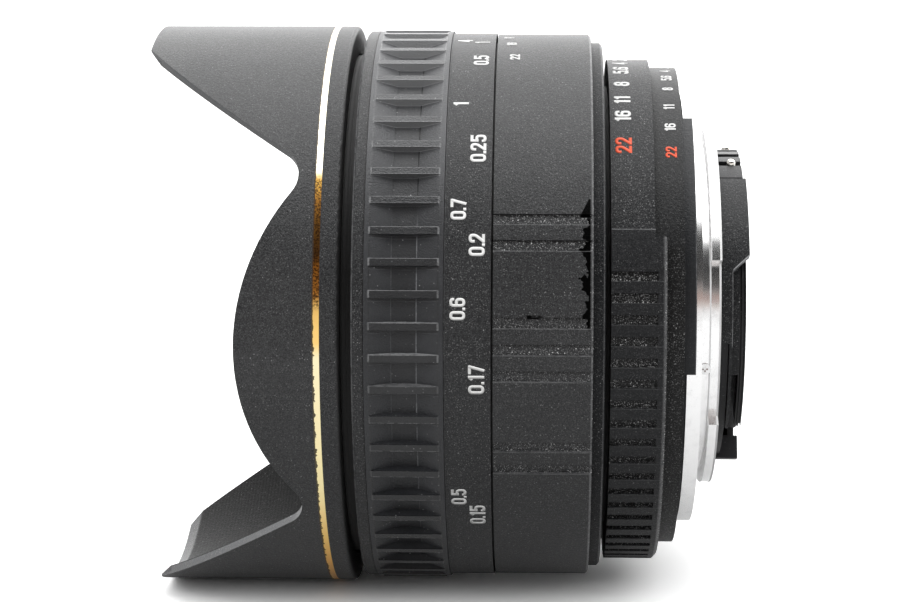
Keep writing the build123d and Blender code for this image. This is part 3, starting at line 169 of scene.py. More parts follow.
class Bench:
    def __init__(self, tree, coordinates="Object"):
        self.tree = tree
        self.tree.nodes.clear()
        self.place = Wire(self, self.raw("ShaderNodeTexCoord").outputs[coordinates])
        self.x, self.y, self.z = self.split(self.place)

    def raw(self, kind, settings=None):
        made = self.tree.nodes.new(kind)
        for name, value in (settings or {}).items():
            setattr(made, name, value)
        return made

    def plug(self, target, value):
        if isinstance(value, Wire):
            self.tree.links.new(value.socket, target)
        else:
            target.default_value = value

    def node(self, kind, settings, *values, **named):
        made = self.raw(kind, settings)
        for index, value in enumerate(values):
            self.plug(made.inputs[index], value)
        for name, value in named.items():
            self.plug(made.inputs[name], value)
        return Wire(self, made.outputs[0])

    def split(self, vector):
        parts = self.raw("ShaderNodeSeparateXYZ")
        self.plug(parts.inputs[0], vector)
        return [Wire(self, socket) for socket in parts.outputs]

    def radius(self):
        return ((self.y * self.y) + (self.z * self.z)).math("SQRT")

    def angle(self):   # degrees from the top towards the camera's side, -180 to 180
        return (-self.y).math("ARCTAN2", self.z) * math.degrees(1)

    def noise(self, look):
        return self.node("ShaderNodeTexNoise", {}, Vector=self.place,
                         Scale=1.0 / (look["size"] * mm), Detail=look["detail"],
                         Roughness=look.get("rough", 0.55))

    def patches(self, look):   # the same with more contrast, and never below least
        wire = self.noise(look).rise(*look["span"])
        return partly(wire, look["least"]) if "least" in look else wire

    def stripes(self, lines):   # lines round the lens: start, end, soft border, strength
        found = 0.0
        for *span, strength in lines:
            found = (self.x.strip(span) * strength).most(found)
        return found

    def wave(self, wire, pitch):   # 0 to 1 and back in each pitch
        return (wire * (math.tau / (pitch * mm))).math("SINE") * 0.5 + 0.5

    def cells(self, size, seed=0.0):   # distance to a cell's middle, and the cell's two chances
        moved = self.node("ShaderNodeVectorMath", {"operation": "ADD"}, self.place,
                          (seed, seed, seed))
        made = self.raw("ShaderNodeTexVoronoi", {"feature": "F1"})
        self.plug(made.inputs["Vector"], moved)
        made.inputs["Scale"].default_value = 1.0 / size
        chances = self.split(Wire(self, made.outputs["Color"]))
        return Wire(self, made.outputs["Distance"]), chances[0], chances[1]

    def mix(self, share, first, second):   # colours
        made = self.raw("ShaderNodeMix", {"data_type": "RGBA"})
        self.plug(made.inputs[0], share)
        self.plug(made.inputs[6], first)
        self.plug(made.inputs[7], second)
        return Wire(self, made.outputs[2])

    def greys(self, share, first, second):
        return self.mix(share, grey(first), grey(second))

    def over(self, colour, share, tone):   # a share of a grey over the colour
        return self.mix(share, colour, grey(*tone) if isinstance(tone, tuple) else grey(tone))

    def ramp(self, value, stops):
        made = self.raw("ShaderNodeValToRGB")
        band = made.color_ramp.elements
        while len(band) < len(stops):
            band.new(0.5)
        for element, (place, colour) in zip(band, stops):
            element.position = place
            element.color = colour
        self.plug(made.inputs[0], value)
        return Wire(self, made.outputs[0])

    def bump(self, height, distance):
        return self.node("ShaderNodeBump", {}, Height=height, Distance=distance)

    def dust(self, layer, share, amount):
        # grains in a share of the cells, most of them faint and few bright
        size, portion, brightness, seed, reach = layer
        near, chance, light = self.cells(size * mm, seed)
        grain = 1.0 - near.rise(reach * speck["core"], reach)
        kept = chance.math("LESS_THAN", share * portion)
        light = light.math("POWER", speck["power"]) * (1.0 - speck["faint"]) + speck["faint"]
        return grain * kept * light * (amount * brightness)

    def rays(self, *kinds):   # 1 for the rays of each kind
        path = self.raw("ShaderNodeLightPath")
        return [Wire(self, path.outputs[kind]) for kind in kinds]

    def principled(self, **sockets):
        shader = self.raw("ShaderNodeBsdfPrincipled")
        for name, value in sockets.items():
            self.plug(shader.inputs[name.replace("_", " ")], value)
        out = self.raw("ShaderNodeOutputMaterial")
        self.tree.links.new(shader.outputs[0], out.inputs["Surface"])


def startMaterial(name):
    material = bpy.data.materials.new(name)
    material.use_nodes = True
    return material, Bench(material.node_tree)


def grey(value, blue=0.0):
    return (value, value + blue * 0.3, value + blue, 1.0)


def partly(wire, least):   # from least to 1
    return wire * (1.0 - least) + least


# Black crinkle coat of the metal parts: mottled grain, dust, and painted highlights along the
# edges, made uneven by a wear pattern.
# The looks are in millimetres and degrees. A tone is a grey, or a grey and how much bluer it is.
# A span is (start, end), or (start, end, soft border).

coat = {
    "tone": 0.017,
    "spread": (0.95, 1.33),   # how far the mottling goes below and above the tone
    "blues": (0.001, 0.002),
    "grain": {"size": 0.16, "detail": 2.0, "span": (0.34, 0.66), "share": 0.6, "height": 0.5},
    "crinkle": {"size": 0.3, "detail": 3.0, "span": (0.3, 0.7), "share": 0.25, "height": 0.9},
    "cloud": {"size": 8.0, "detail": 3.0, "span": (0.3, 0.7), "share": 0.15},
    "depth": 0.075,
    "roughness": 0.47, "roughDrop": 0.08, "roughCrinkle": 0.16, "specular": 0.3,
    "share": 0.5,   # of the cells that hold a grain of dust
    "dustTone": 0.7,
    "patch": {"size": 5.0, "detail": 3.0, "span": (0.35, 0.7), "least": 0.4},
    "low": {"span": (-30.0, 28.0), "least": 0.55},   # more dust towards the bottom
    # cell size, share of the cells, brightness, seed, size of the grains
    "layers": [(0.34, 1.0, 1.0, 0.0, 0.26), (0.204, 1.3, 0.7, 0.37, 0.26),
               (0.578, 0.4, 1.2, 1.9, 0.17)],
    "haze": (0.17, 0.9, 0.2, 0.71, 0.5),
    # the wear pattern that breaks up the painted edge highlights, and the highlights' tone
    "worn": {"size": 0.9, "detail": 4.0, "span": (0.3, 0.6), "least": 0.3},
    "wornTone": (0.3, 0.01),
}


def coatMaterial(name, detail, tone=coat["tone"], dust=1.0, share=coat["share"],
                 specular=coat["specular"], roughness=coat["roughness"]):
    material, bench = startMaterial(name)
    noises = {kind: bench.noise(coat[kind]) for kind in ("grain", "crinkle", "cloud")}
    mottle = 0.0
    for kind, noise in noises.items():
        mottle = noise.rise(*coat[kind]["span"]) * coat[kind]["share"] + mottle
    below, above = coat["spread"]
    colour = bench.mix(mottle, grey(tone * (1 - below), coat["blues"][0]),
                       grey(tone * (1 + above), coat["blues"][1]))
    low = partly(1.0 - bench.z.climb(coat["low"]["span"]), coat["low"]["least"])
    amount = bench.patches(coat["patch"]) * low * dust
    specks = bench.dust(coat["haze"], 1.0, dust)
    for layer in coat["layers"]:
        specks = specks.most(bench.dust(layer, share, amount))
    rough = noises["crinkle"] * coat["roughCrinkle"] + (roughness - coat["roughDrop"])
    traits = {"colour": colour, "rough": rough, "specks": specks, "lines": 0.0, "bare": 0.0}
    detail(bench, traits)
    # painted highlights: the edge lines from the details are lightened, broken up by the wear
    # pattern
    lines = (traits["lines"] * bench.patches(coat["worn"])).clamped()
    colour = bench.over(traits["colour"], lines, coat["wornTone"])
    colour = bench.over(colour, traits["specks"].clamped(), coat["dustTone"])
    height = noises["grain"] * coat["grain"]["height"]
    height += noises["crinkle"] * coat["crinkle"]["height"]
    bench.principled(Base_Color=colour, Roughness=traits["rough"], Metallic=traits["bare"],
                     Normal=bench.bump(height, coat["depth"] * mm), Specular_IOR_Level=specular)
    return material


hood = {
    "bore": (35.7, 35.78),     # radius where the inside ends
    "skin": (36.66, 36.72),    # and where the outside starts
    "slope": (36.38, 36.46),   # and where the rim's slope ends
    "neck": (-47.3, -47.1),    # the petals lie in front of it
    "rim": (-67.45, -67.35),   # and the rim's slope in front of this
    "ridge": 0.45,             # pitch of the turned rings
    "ringTones": (0.006, 0.012), "innerMetal": 0.8, "innerRough": 0.12, "dustLoss": 0.6,
    # painted highlight on the petals' cut faces: its tone and share
    "cutHighlightTone": (0.1, 0.006), "cutHighlightShare": 0.8,
}


def hoodDetail(bench, traits):
    # fine turned rings on the inside; a painted highlight makes the petals' cut faces light grey,
    # left off on the rim's slope, which stays dark
    radius = bench.radius()
    inner = 1.0 - radius.climb(hood["bore"])
    petals = 1.0 - bench.x.climb(hood["neck"])
    cut = (1.0 - inner) * (1.0 - radius.climb(hood["skin"])) * petals
    tip = (1.0 - bench.x.climb(hood["rim"])) * (1.0 - radius.climb(hood["slope"]))
    rings = bench.greys(bench.wave(bench.x, hood["ridge"]), *hood["ringTones"])
    colour = bench.mix(inner, traits["colour"], rings)
    # painted highlight on the cut faces
    traits["colour"] = bench.over(colour, cut * (1.0 - tip) * hood["cutHighlightShare"], hood["cutHighlightTone"])
    traits["bare"] = inner * hood["innerMetal"]
    traits["rough"] += inner * hood["innerRough"]
    traits["specks"] *= 1.0 - inner * hood["dustLoss"]


baseRing = {"lip": (-44.0, -43.7), "lipShadeTone": 0.006, "dustLoss": 0.8}


def baseDetail(bench, traits):
    # painted shade: the lip at the groove is darker and holds less dust
    lip = bench.x.climb(baseRing["lip"])
    traits["colour"] = bench.over(traits["colour"], lip, baseRing["lipShadeTone"])
    traits["specks"] *= 1.0 - lip * baseRing["dustLoss"]


focusRing = {
    "lines": [(-42.22, -42.0, 0.03, 0.35), (-31.2, -31.0, 0.03, 0.15)],
    "seam": (-40.9, -40.62, 0.03), "seamShade": 0.8, "seamTone": 0.004,
}


def ringDetail(bench, traits):
    # painted highlights on the focus ring's nose edge and on the border of the grip
    traits["lines"] = bench.stripes(focusRing["lines"])
    seam = bench.x.strip(focusRing["seam"]) * focusRing["seamShade"]
    traits["colour"] = bench.over(traits["colour"], seam, focusRing["seamTone"])


barrel = {
    "middle": 90.0,
    "grooves": (-25.3, -20.1, -5.2, 0.0, 5.2, 20.1, 25.3),   # from the middle
    "half": 1.05,   # of a groove's width
    "floor": (35.38, 35.62), "floorDust": 3.0, "dust": 0.8,
    "edge": (0.0, 0.16, 0.05), "edgeLight": 0.4,   # painted highlight, from a groove's lower side
    "shade": (-0.1, 0.5, 0.2), "shadeShare": 0.5, "shadeTone": 0.004,   # from its upper side
    # painted highlight on the bevel at the back
    "rim": (-13.6, -13.4, 0.04, 0.45),
    "back": (-13.78, -13.7),
}

chips = {
    "wave": {"size": 1.5, "detail": 2.0},
    "least": 0.36,   # where the wave is above it the coat is gone
    "reach": 3.4,
    "edge": 13.95,   # from the flange
    "corner": (60.6, 64.2, 0.05), "cornerRise": 0.3, "cornerMost": 1.05,   # a straight tear
    "side": (64.2, 86.0, 0.6),
    "flake": {"along": (-21.3, -19.4, 0.15), "angle": (83.3, 84.1, 0.1), "wave": (0.4, 0.5)},
    "tone": 0.003,
}


def chippedOff(bench, angle):   # 1 where the barrel's coat is gone
    wave = bench.noise(chips["wave"])
    reach = (wave - chips["least"]).most(0.0) * (chips["reach"] * mm)
    corner = angle.inside(*chips["corner"])
    tear = (angle - chips["corner"][0]) * (chips["cornerRise"] * mm)
    tear = corner * tear.least(chips["cornerMost"] * mm).most(0.0)
    side = angle.inside(*chips["side"])
    edge = (reach * side).most(tear) + chips["edge"] * mm
    chip = (-bench.x).math("LESS_THAN", edge) * side.most(corner)
    flake = bench.x.strip(chips["flake"]["along"]) * angle.inside(*chips["flake"]["angle"])
    flake *= wave.rise(*chips["flake"]["wave"])
    return chip.most(flake) * (1.0 - bench.x.climb(barrel["back"]))


def barrelDetail(bench, traits):
    # dust gathers in the finger grooves, and the coat has chipped off along the back edge; painted
    # highlights on the grooves' lower edges and on the back rim, painted shade just inside the
    # grooves' upper edges
    angle = bench.angle()
    floor = 1.0 - bench.radius().climb(barrel["floor"])
    edges = shades = 0.0
    for groove in barrel["grooves"]:
        lower = barrel["middle"] + groove + barrel["half"]
        upper = barrel["middle"] + groove - barrel["half"]
        # painted highlights on the grooves' lower edges, painted shade just inside their upper
        # edges
        edges = (angle - lower).inside(*barrel["edge"]) + edges
        shades = (angle - upper).inside(*barrel["shade"]) + shades
    bare = chippedOff(bench, angle)
    traits["specks"] *= (floor * barrel["floorDust"] + barrel["dust"]) * (1.0 - bare)
    colour = bench.over(traits["colour"], shades * barrel["shadeShare"], barrel["shadeTone"])
    traits["colour"] = bench.over(colour, bare, chips["tone"])
    traits["bare"] = bare
    traits["lines"] = (edges * barrel["edgeLight"]).most(bench.stripes([barrel["rim"]]))


rearRing = {"edge": (-12.12, -12.0, 0.03, 0.3)}


def rearRingDetail(bench, traits):
    # painted highlight on the ring's bevel
    traits["lines"] = bench.stripes([rearRing["edge"]])


aperture = {
    "block": (33.45, 33.55),   # the knurled block's lands stand out this far
    "groove": (32.9, 33.3, 0.05), "grooveShade": 0.7, "grooveTone": 0.005,
    "ridge": (-2.33, -2.27), "ridgeTone": (0.018, 0.003), "ridgeRough": 0.1,
    "band": (-5.85, -2.33, 0.04), "bandRadius": (31.5, 31.7), "bandTone": 0.003,
    "lower": (66.0, 70.0),
    "bandShade": (0.5, 0.4),   # above the block, and added beside it
    "dust": {"plain": 0.7, "groove": 1.6, "band": 0.4, "lowerBand": 0.35, "block": 0.45,
             "ridge": 0.9},
    "rim": (-4.86, -4.58, 0.05), "rimRadius": (32.0, 32.4), "rimLight": 0.3,
    "firstLand": 75.4, "landPitch": 4.451,
    "landEdge": (0.215, 0.25, 0.01), "landStart": (73.0, 74.0), "landLight": 0.15,
    "top": (65.45, 65.7, 0.05), "topRadius": (32.6, 33.0), "topLight": 0.45,
    "back": (-0.92, -0.78, 0.03, 0.35),
}


def apertureDetail(bench, traits):
    # dust lies in the grooves and on the band, the ridge at the back is smooth; painted shade in
    # the grooves and on the band, painted highlights on the block's edges, the rim and the back
    # edge
    look = aperture
    radius = bench.radius()
    angle = bench.angle()
    block = radius.climb(look["block"])
    groove = radius.strip(look["groove"])
    ridge = bench.x.climb(look["ridge"])
    band = bench.x.strip(look["band"]) * (1.0 - radius.climb(look["bandRadius"]))
    lower = angle.rise(*look["lower"])
    dust = look["dust"]
    amount = groove * dust["groove"] - band * (dust["band"] - lower * dust["lowerBand"])
    amount = (amount - block * dust["block"] + dust["plain"]) * (1.0 - ridge * dust["ridge"])
    traits["specks"] *= amount
    plain, added = look["bandShade"]
    colour = bench.over(traits["colour"], ridge, look["ridgeTone"])
    colour = bench.over(colour, band * (lower * added + plain), look["bandTone"])
    shade = groove * look["grooveShade"]
    traits["colour"] = bench.over(colour, shade, look["grooveTone"])
    traits["rough"] -= ridge * look["ridgeRough"]
    side = abs(angle)
    # painted highlights: the rim, the lands' edges, the block's top edge and the back edge
    rim = bench.x.strip(look["rim"]) * radius.climb(look["rimRadius"])
    land = (side - look["firstLand"]).phase(look["landPitch"])
    edge = land.inside(*look["landEdge"]) * block * side.rise(*look["landStart"])
    top = side.inside(*look["top"]) * radius.climb(look["topRadius"])
    lines = (rim * look["rimLight"]).most(edge * look["landLight"])
    lines = lines.most(top * look["topLight"])
    traits["lines"] = lines.most(bench.stripes([look["back"]]))


shroud = {
    "window": (63.7, 69.2, 96.0),   # start, end of the slanted cut, end of the long edge
    "disc": 4.3, "back": 6.42,
    "skin": (19.5, 19.6),
    "slant": (-0.5, 0.4, 0.1), "slantSoft": 0.05, "slantLight": 1.6,
    "edge": (-0.08, 0.1, 0.03), "edgeSoft": 0.5, "edgeLight": 0.7,
}


def shroudDetail(bench, traits):
    # the window's slanted end and its long edge catch the light
    start, end, last = shroud["window"]
    disc, back = shroud["disc"], shroud["back"]
    angle = bench.angle()
    along = bench.x / mm
    slope = (along - back) * ((end - start) / (disc - back)) + start
    slant = (angle - slope).inside(*shroud["slant"])
    slant *= along.inside(disc, back, shroud["slantSoft"])
    edge = (along - disc).inside(*shroud["edge"]) * angle.inside(end, last, shroud["edgeSoft"])
    lines = (slant * shroud["slantLight"]).most(edge * shroud["edgeLight"])
    traits["lines"] = lines * bench.radius().climb(shroud["skin"])


# Dark rubber of the grip: light edges on the ribs from wear and painted highlights, painted shade
# and light on the ribs and in the troughs, painted shade and highlights along the troughs' creases

grip = {
    "tone": 0.021,
    # share of the tone, and how much bluer: dark and light clouds, light grains
    "shades": [(0.75, 0.003), (1.3, 0.004), (2.0, 0.004)],
    "grain": {"size": 0.2, "detail": 2.0, "span": (0.4, 0.75), "share": 0.35},
    "cloud": {"size": 6.0, "detail": 3.0, "span": (0.3, 0.7)},
    "chips": {"size": 0.7, "detail": 4.0, "span": (0.36, 0.56)},
    "depth": 0.09,
    "roughness": 0.43, "roughGrain": 0.14, "ribRough": 0.16, "specular": 0.45,
    "count": 59, "first": 79.45,   # ribs, and the middle of one
    "radius": 36.2, "ribTop": (36.0, 36.1),
    "front": -40.09, "back": -31.81, "margin": 0.05, "soft": 0.03,
    "half": 0.45,   # of a rib's width
    "line": 0.055,   # half an edge line's width; the lines are wear and painted highlights
    "troughLines": (0.32, 0.685),   # shares of the rib's length
    "dust": (0.42, 0.22, 0.8, 0.0, 0.26), "dustSpan": (0.3, 0.6), "dustTone": 0.55,
}

rib = {
    # painted shade and painted light on the ribs and in the troughs
    "top": {"span": (52.0, 72.0), "share": 0.5, "least": 0.1, "soft": 0.02, "tone": (0.011, 0.001)},
    "upperSide": (90.0, 104.0), "lowerSide": (96.0, 106.0), "lowerShare": 0.8,
    "ends": {"span": (0.07, 0.16), "share": 0.8, "least": 0.3},
    "fade": {"span": (35.0, 66.0), "least": 0.4},
    "chipLeast": 0.5,
    "edgeShare": 0.62, "edgeTone": (0.36, 0.01),
    "shade": {"reach": 0.3, "soft": 0.1, "share": 0.45, "span": (60.0, 80.0), "tone": 0.006},
    "lit": (40.0, 72.0),   # above it the troughs are lit
    "wall": {"span": (-0.06, 0.1), "share": 0.9, "tone": (0.3, 0.008)},
    "trough": {"share": 0.5, "tone": (0.11, 0.006)},
    "middle": {"share": 0.3, "tone": 0.008},
}

# crease lines: painted shade along them on the upper part of the grip, painted highlights lower
# down
crease = {
    "strong": {"half": 0.06, "share": 0.5},
    "faint": {"half": 0.05, "share": 0.16},
    "under": {"span": (0.36, 0.44), "soft": 0.04, "share": 0.12},
    "fade": (110.0, 130.0), "fadeShare": 0.6,
    "dark": {"gain": 2.2, "span": (56.0, 68.0), "tone": 0.003},
    "light": {"span": (60.0, 72.0), "least": 0.4, "tone": (0.3, 0.02)},
}


def ribEdges(ribs, angle, chip):   # light lines round the ribs: wear, and painted highlights on the upper edges above and the lower edges below
    across, along, span = ribs["across"], ribs["along"], ribs["span"]
    half, line, soft = grip["half"], grip["line"], grip["soft"]
    upperSide = 1.0 - angle.rise(*rib["upperSide"])
    lowerSide = angle.rise(*rib["lowerSide"])
    upper = across.inside(-half - line, -half + line, soft) * upperSide
    lower = across.inside(half - line, half + line, soft) * lowerSide * chip
    ends = abs(along - grip["front"]).least(abs(along - grip["back"]))
    ends = (1.0 - ends.rise(*rib["ends"]["span"])) * across.inside(-half, half, soft)
    ends *= partly(upperSide, rib["ends"]["least"])
    edges = upper.most(lower * rib["lowerShare"]) * span
    edges = edges.most(ends * rib["ends"]["share"]) * partly(chip, rib["chipLeast"])
    return edges * partly(angle.rise(*rib["fade"]["span"]), rib["fade"]["least"])


def troughCreases(ribs, angle):
    half, look = grip["half"], crease["under"]
    start, end = look["span"]
    creases = ribs["across"].inside(half + start, half + end, look["soft"])
    creases *= ribs["span"] * look["share"]
    for place, kind in zip(ribs["places"], ("faint", "strong")):
        look = crease[kind]
        line = ribs["along"].inside(place - look["half"], place + look["half"], grip["soft"])
        creases = creases.most(line * look["share"])
    fade = 1.0 - angle.rise(*crease["fade"]) * crease["fadeShare"]
    return creases * ribs["off"] * fade


def troughColour(bench, ribs, angle, colour):
    across, half = ribs["across"], grip["half"]
    shade, wall, trough, middle = (rib[key] for key in ("shade", "wall", "trough", "middle"))
    # painted shadow just below each rib, from the camera's side down
    dark = across.inside(half, half + shade["reach"], shade["soft"]) * ribs["span"] * ribs["off"]
    dark *= angle.rise(*shade["span"]) * shade["share"]
    colour = bench.over(colour, dark, shade["tone"])
    # painted light on the ribs' lower walls and on the troughs on the upper part
    lit = 1.0 - angle.rise(*rib["lit"])
    start, end = wall["span"]
    side = across.inside(half + start, half + end, grip["soft"]) * ribs["span"]
    colour = bench.over(colour, side * lit * wall["share"], wall["tone"])
    colour = bench.over(colour, ribs["off"] * lit * trough["share"], trough["tone"])
    # painted shade in the troughs' middle third
    between = ribs["along"].inside(*ribs["places"], grip["soft"]) * ribs["off"]
    return bench.over(colour, between * middle["share"], middle["tone"])


def rubberMaterial():
    material, bench = startMaterial("gripRubber")
    fine = bench.noise(grip["grain"])
    cloud = bench.noise(grip["cloud"])
    chip = bench.patches(grip["chips"])
    tones = [grey(grip["tone"] * share, blue) for share, blue in grip["shades"]]
    colour = bench.mix(cloud.rise(*grip["cloud"]["span"]), *tones[:2])
    grains = fine.rise(*grip["grain"]["span"]) * grip["grain"]["share"]
    colour = bench.mix(grains, colour, tones[2])
    angle = bench.angle()
    pitch = 360.0 / grip["count"]
    turn = (angle - grip["first"]).phase(pitch)
    across = turn * (pitch * math.radians(1) * grip["radius"])   # below a rib's middle
    along = bench.x / mm
    start, end = grip["front"] - grip["margin"], grip["back"] + grip["margin"]
    reach, length = grip["half"] + grip["margin"], grip["back"] - grip["front"]
    ribs = {"across": across, "along": along, "span": along.inside(start, end, grip["soft"]),
            "places": [grip["front"] + place * length for place in grip["troughLines"]]}
    ribs["off"] = 1.0 - across.inside(-reach, reach, grip["soft"]) * ribs["span"]
    top, dark, light = rib["top"], crease["dark"], crease["light"]
    # painted shade: the rib tops are a little darker everywhere and more from the camera's side
    # down
    onRib = bench.radius().climb(grip["ribTop"]) * along.inside(start, end, top["soft"])
    ribTopShade = angle.rise(*top["span"]) * top["share"] + top["least"]
    colour = bench.over(colour, onRib * ribTopShade, top["tone"])
    colour = troughColour(bench, ribs, angle, colour)
    creases = troughCreases(ribs, angle)
    # painted shade along the creases on the upper part, painted highlights lower down, broken up by
    # the chip pattern
    creaseShade = (creases * dark["gain"]).clamped() * (1.0 - angle.rise(*dark["span"]))
    colour = bench.over(colour, creaseShade, dark["tone"])
    creaseHighlights = creases * partly(chip, light["least"]) * angle.rise(*light["span"])
    colour = bench.over(colour, creaseHighlights, light["tone"])
    # wear and painted highlights on the ribs' edges
    edges = (ribEdges(ribs, angle, chip) * rib["edgeShare"]).clamped()
    colour = bench.over(colour, edges, rib["edgeTone"])
    specks = bench.dust(grip["dust"], 1.0, cloud.rise(*grip["dustSpan"])).clamped()
    colour = bench.over(colour, specks, grip["dustTone"])
    rough = fine * grip["roughGrain"] + grip["roughness"] - onRib * grip["ribRough"]
    bench.principled(Base_Color=colour, Roughness=rough, Specular_IOR_Level=grip["specular"],
                     Normal=bench.bump(fine, grip["depth"] * mm))
    return material


# Gold ring. Its colour round the ring is a painted reflection of the tent: cream at the top, a dark
# band and a warm glow on the camera's side, with grainy dark patches in the band. Painted shade of
# the gaps darkens its front and back edges, and the front edge has worn nicks.

gold = {
    "stops": [   # painted reflections; share of a turn from the bottom, colour
        (0.0, (0.72, 0.36, 0.09, 1)), (0.14, (0.95, 0.75, 0.38, 1)),
        (0.3, (0.98, 0.86, 0.6, 1)), (0.44, (0.96, 0.88, 0.68, 1)),
        (0.653, (0.97, 0.9, 0.72, 1)), (0.659, (0.55, 0.32, 0.06, 1)),
        (0.672, (0.34, 0.15, 0.022, 1)), (0.701, (0.09, 0.036, 0.008, 1)),
        (0.707, (0.42, 0.15, 0.018, 1)), (0.722, (0.5, 0.2, 0.03, 1)),
        (0.727, (0.98, 0.62, 0.18, 1)), (0.748, (0.98, 0.66, 0.22, 1)),
        (0.753, (1.0, 0.88, 0.56, 1)), (0.83, (1.0, 0.86, 0.46, 1)),
        (0.87, (1.0, 0.66, 0.2, 1)), (0.9, (0.98, 0.52, 0.1, 1)),
        (1.0, (0.7, 0.34, 0.07, 1)),
    ],
    "grain": {"size": 0.22, "detail": 3.0, "span": (0.38, 0.62)},
    "jitter": {"size": 1.2, "detail": 2.0, "reach": 1.2},
    "darkPatchBand": (237.0, 262.0, 1.0), "darkPatchShare": 0.9,
    "darkPatchTone": (0.04, 0.016, 0.004, 1),
    "nick": {"size": 0.55, "detail": 3.0, "least": 0.45, "reach": 2.4},
    "worn": (266.0, 335.0, 3.0), "wornShare": 0.3, "wornLeast": 0.12,
    "front": -46.62, "back": -45.87,
    "darkShare": 0.92, "darkTone": (0.02, 0.012, 0.006, 1),
    "roughness": 0.26, "roughGrain": 0.12, "roughDark": 0.3,
    "metal": 0.75, "metalDark": 0.6,
}


def goldMaterial():
    material, bench = startMaterial("goldRing")
    angle = bench.angle() + 180.0
    grain = bench.noise(gold["grain"])
    reach = gold["jitter"]["reach"]
    jitter = bench.noise(gold["jitter"]) * reach - reach / 2
    colour = bench.ramp((angle + jitter) / 360.0, gold["stops"])
    # grainy dark patches in the band of the painted dark reflection
    darkPatches = grain.rise(*gold["grain"]["span"]) * angle.inside(*gold["darkPatchBand"])
    colour = bench.mix(darkPatches * gold["darkPatchShare"], colour, gold["darkPatchTone"])
    worn = angle.inside(*gold["worn"]) * gold["wornShare"] + gold["wornLeast"]
    # painted shade of the gaps in front of and behind the ring darkens its edges; in front the
    # border has worn nicks
    nick = (bench.noise(gold["nick"]) - gold["nick"]["least"]).most(0.0) * worn
    front = nick * (gold["nick"]["reach"] * mm) + gold["front"] * mm
    dark = bench.x.math("LESS_THAN", front)
    dark = dark.most(bench.x.math("GREATER_THAN", gold["back"] * mm))
    colour = bench.mix(dark * gold["darkShare"], colour, gold["darkTone"])
    rough = grain * gold["roughGrain"] + gold["roughness"] + dark * gold["roughDark"]
    bench.principled(Base_Color=colour, Roughness=rough,
                     Metallic=gold["metal"] - dark * gold["metalDark"])
    return material


# Bright turned chrome of the mount

chrome = {
    "turned": 0.09,   # pitch of the turning marks
    "turnedDepth": 0.003,
    "face": (-0.3, -0.1),   # the turned face lies behind it
    "rub": {"size": 1.6, "detail": 5.0, "rough": 0.7, "span": (0.45, 0.75)},
    "grain": {"size": 0.14, "detail": 2.0},
    "tones": (0.9, 0.8),
    "grime": (0.3, 0.5, 0.7, 0.0, 0.28), "grimeTone": 0.45,
    "edges": [(1.3, 1.5, 0.03, 1.0), (2.5, 2.9, 0.03, 1.0)],   # painted highlights: the lugs' edges are white and not metallic
    "metal": 0.97, "metalEdge": 0.9,
    "roughness": 0.1, "roughRub": 0.12, "roughGrain": 0.06, "roughEdge": 0.3,
}


def chromeMaterial():
    material, bench = startMaterial("mountChrome")
    rub = bench.noise(chrome["rub"])
    fine = bench.noise(chrome["grain"])
    colour = bench.greys(rub.rise(*chrome["rub"]["span"]), *chrome["tones"])
    colour = bench.over(colour, bench.dust(chrome["grime"], 1.0, 1.0), chrome["grimeTone"])
    edge = bench.stripes(chrome["edges"])
    turned = bench.wave(bench.radius(), chrome["turned"]) * bench.x.climb(chrome["face"])
    rough = rub * chrome["roughRub"] + chrome["roughness"] + fine * chrome["roughGrain"]
    # painted highlights on the lugs' edges
    bench.principled(Base_Color=colour, Metallic=chrome["metal"] - edge * chrome["metalEdge"],
                     Roughness=rough + edge * chrome["roughEdge"],
                     Normal=bench.bump(turned, chrome["turnedDepth"] * mm))
    return material


# Plain metals and plastics, glass, ink and board

def scaled(tone, share, offset=0.0):
    return tuple(min(1.0, value * share + offset) for value in tone[:3]) + (1.0,)


metal = {
    "rub": {"size": 1.2, "detail": 4.0, "rough": 0.65, "span": (0.3, 0.75)},
    "darkShare": 0.72, "metal": 0.95, "roughRub": 0.18, "roughDrop": 0.08,
    "grain": {"size": 0.2, "detail": 3.0}, "depth": 0.004,
}


def metalMaterial(name, tone, roughness, size=metal["rub"]["size"]):
    material, bench = startMaterial(name)
    rub = bench.noise({**metal["rub"], "size": size})
    colour = bench.mix(rub.rise(*metal["rub"]["span"]), tone, scaled(tone, metal["darkShare"]))
    rough = rub * metal["roughRub"] + (roughness - metal["roughDrop"])
    bench.principled(Base_Color=colour, Metallic=metal["metal"], Roughness=rough,
                     Normal=bench.bump(bench.noise(metal["grain"]), metal["depth"] * mm))
    return material


plastic = {
    "grain": {"size": 0.16, "detail": 2.0, "span": (0.35, 0.65), "share": 0.5},
    "cloud": {"size": 4.0, "detail": 3.0, "span": (0.3, 0.7), "share": 0.5},
    "light": (1.5, 0.003),   # share and offset of the light mottling
    "dust": (0.3, 0.5, 1.0, 0.0, 0.26), "dustTone": 0.4,
    "roughGrain": 0.14, "roughDrop": 0.07,
    "depth": 0.012, "specular": 0.5,
}


def plasticMaterial(name, tone, roughness, dust=0.0, depth=plastic["depth"],
                    specular=plastic["specular"]):
    material, bench = startMaterial(name)
    fine = bench.noise(plastic["grain"])
    cloud = bench.noise(plastic["cloud"])
    mottle = cloud.rise(*plastic["cloud"]["span"]) * plastic["cloud"]["share"]
    mottle = fine.rise(*plastic["grain"]["span"]) * plastic["grain"]["share"] + mottle
    colour = bench.mix(mottle, tone, scaled(tone, *plastic["light"]))
    if dust:
        specks = bench.dust(plastic["dust"], 1.0, dust).clamped()
        colour = bench.over(colour, specks, plastic["dustTone"])
    rough = fine * plastic["roughGrain"] + (roughness - plastic["roughDrop"])
    bench.principled(Base_Color=colour, Roughness=rough, Specular_IOR_Level=specular,
                     Normal=bench.bump(fine, depth * mm))
    return material


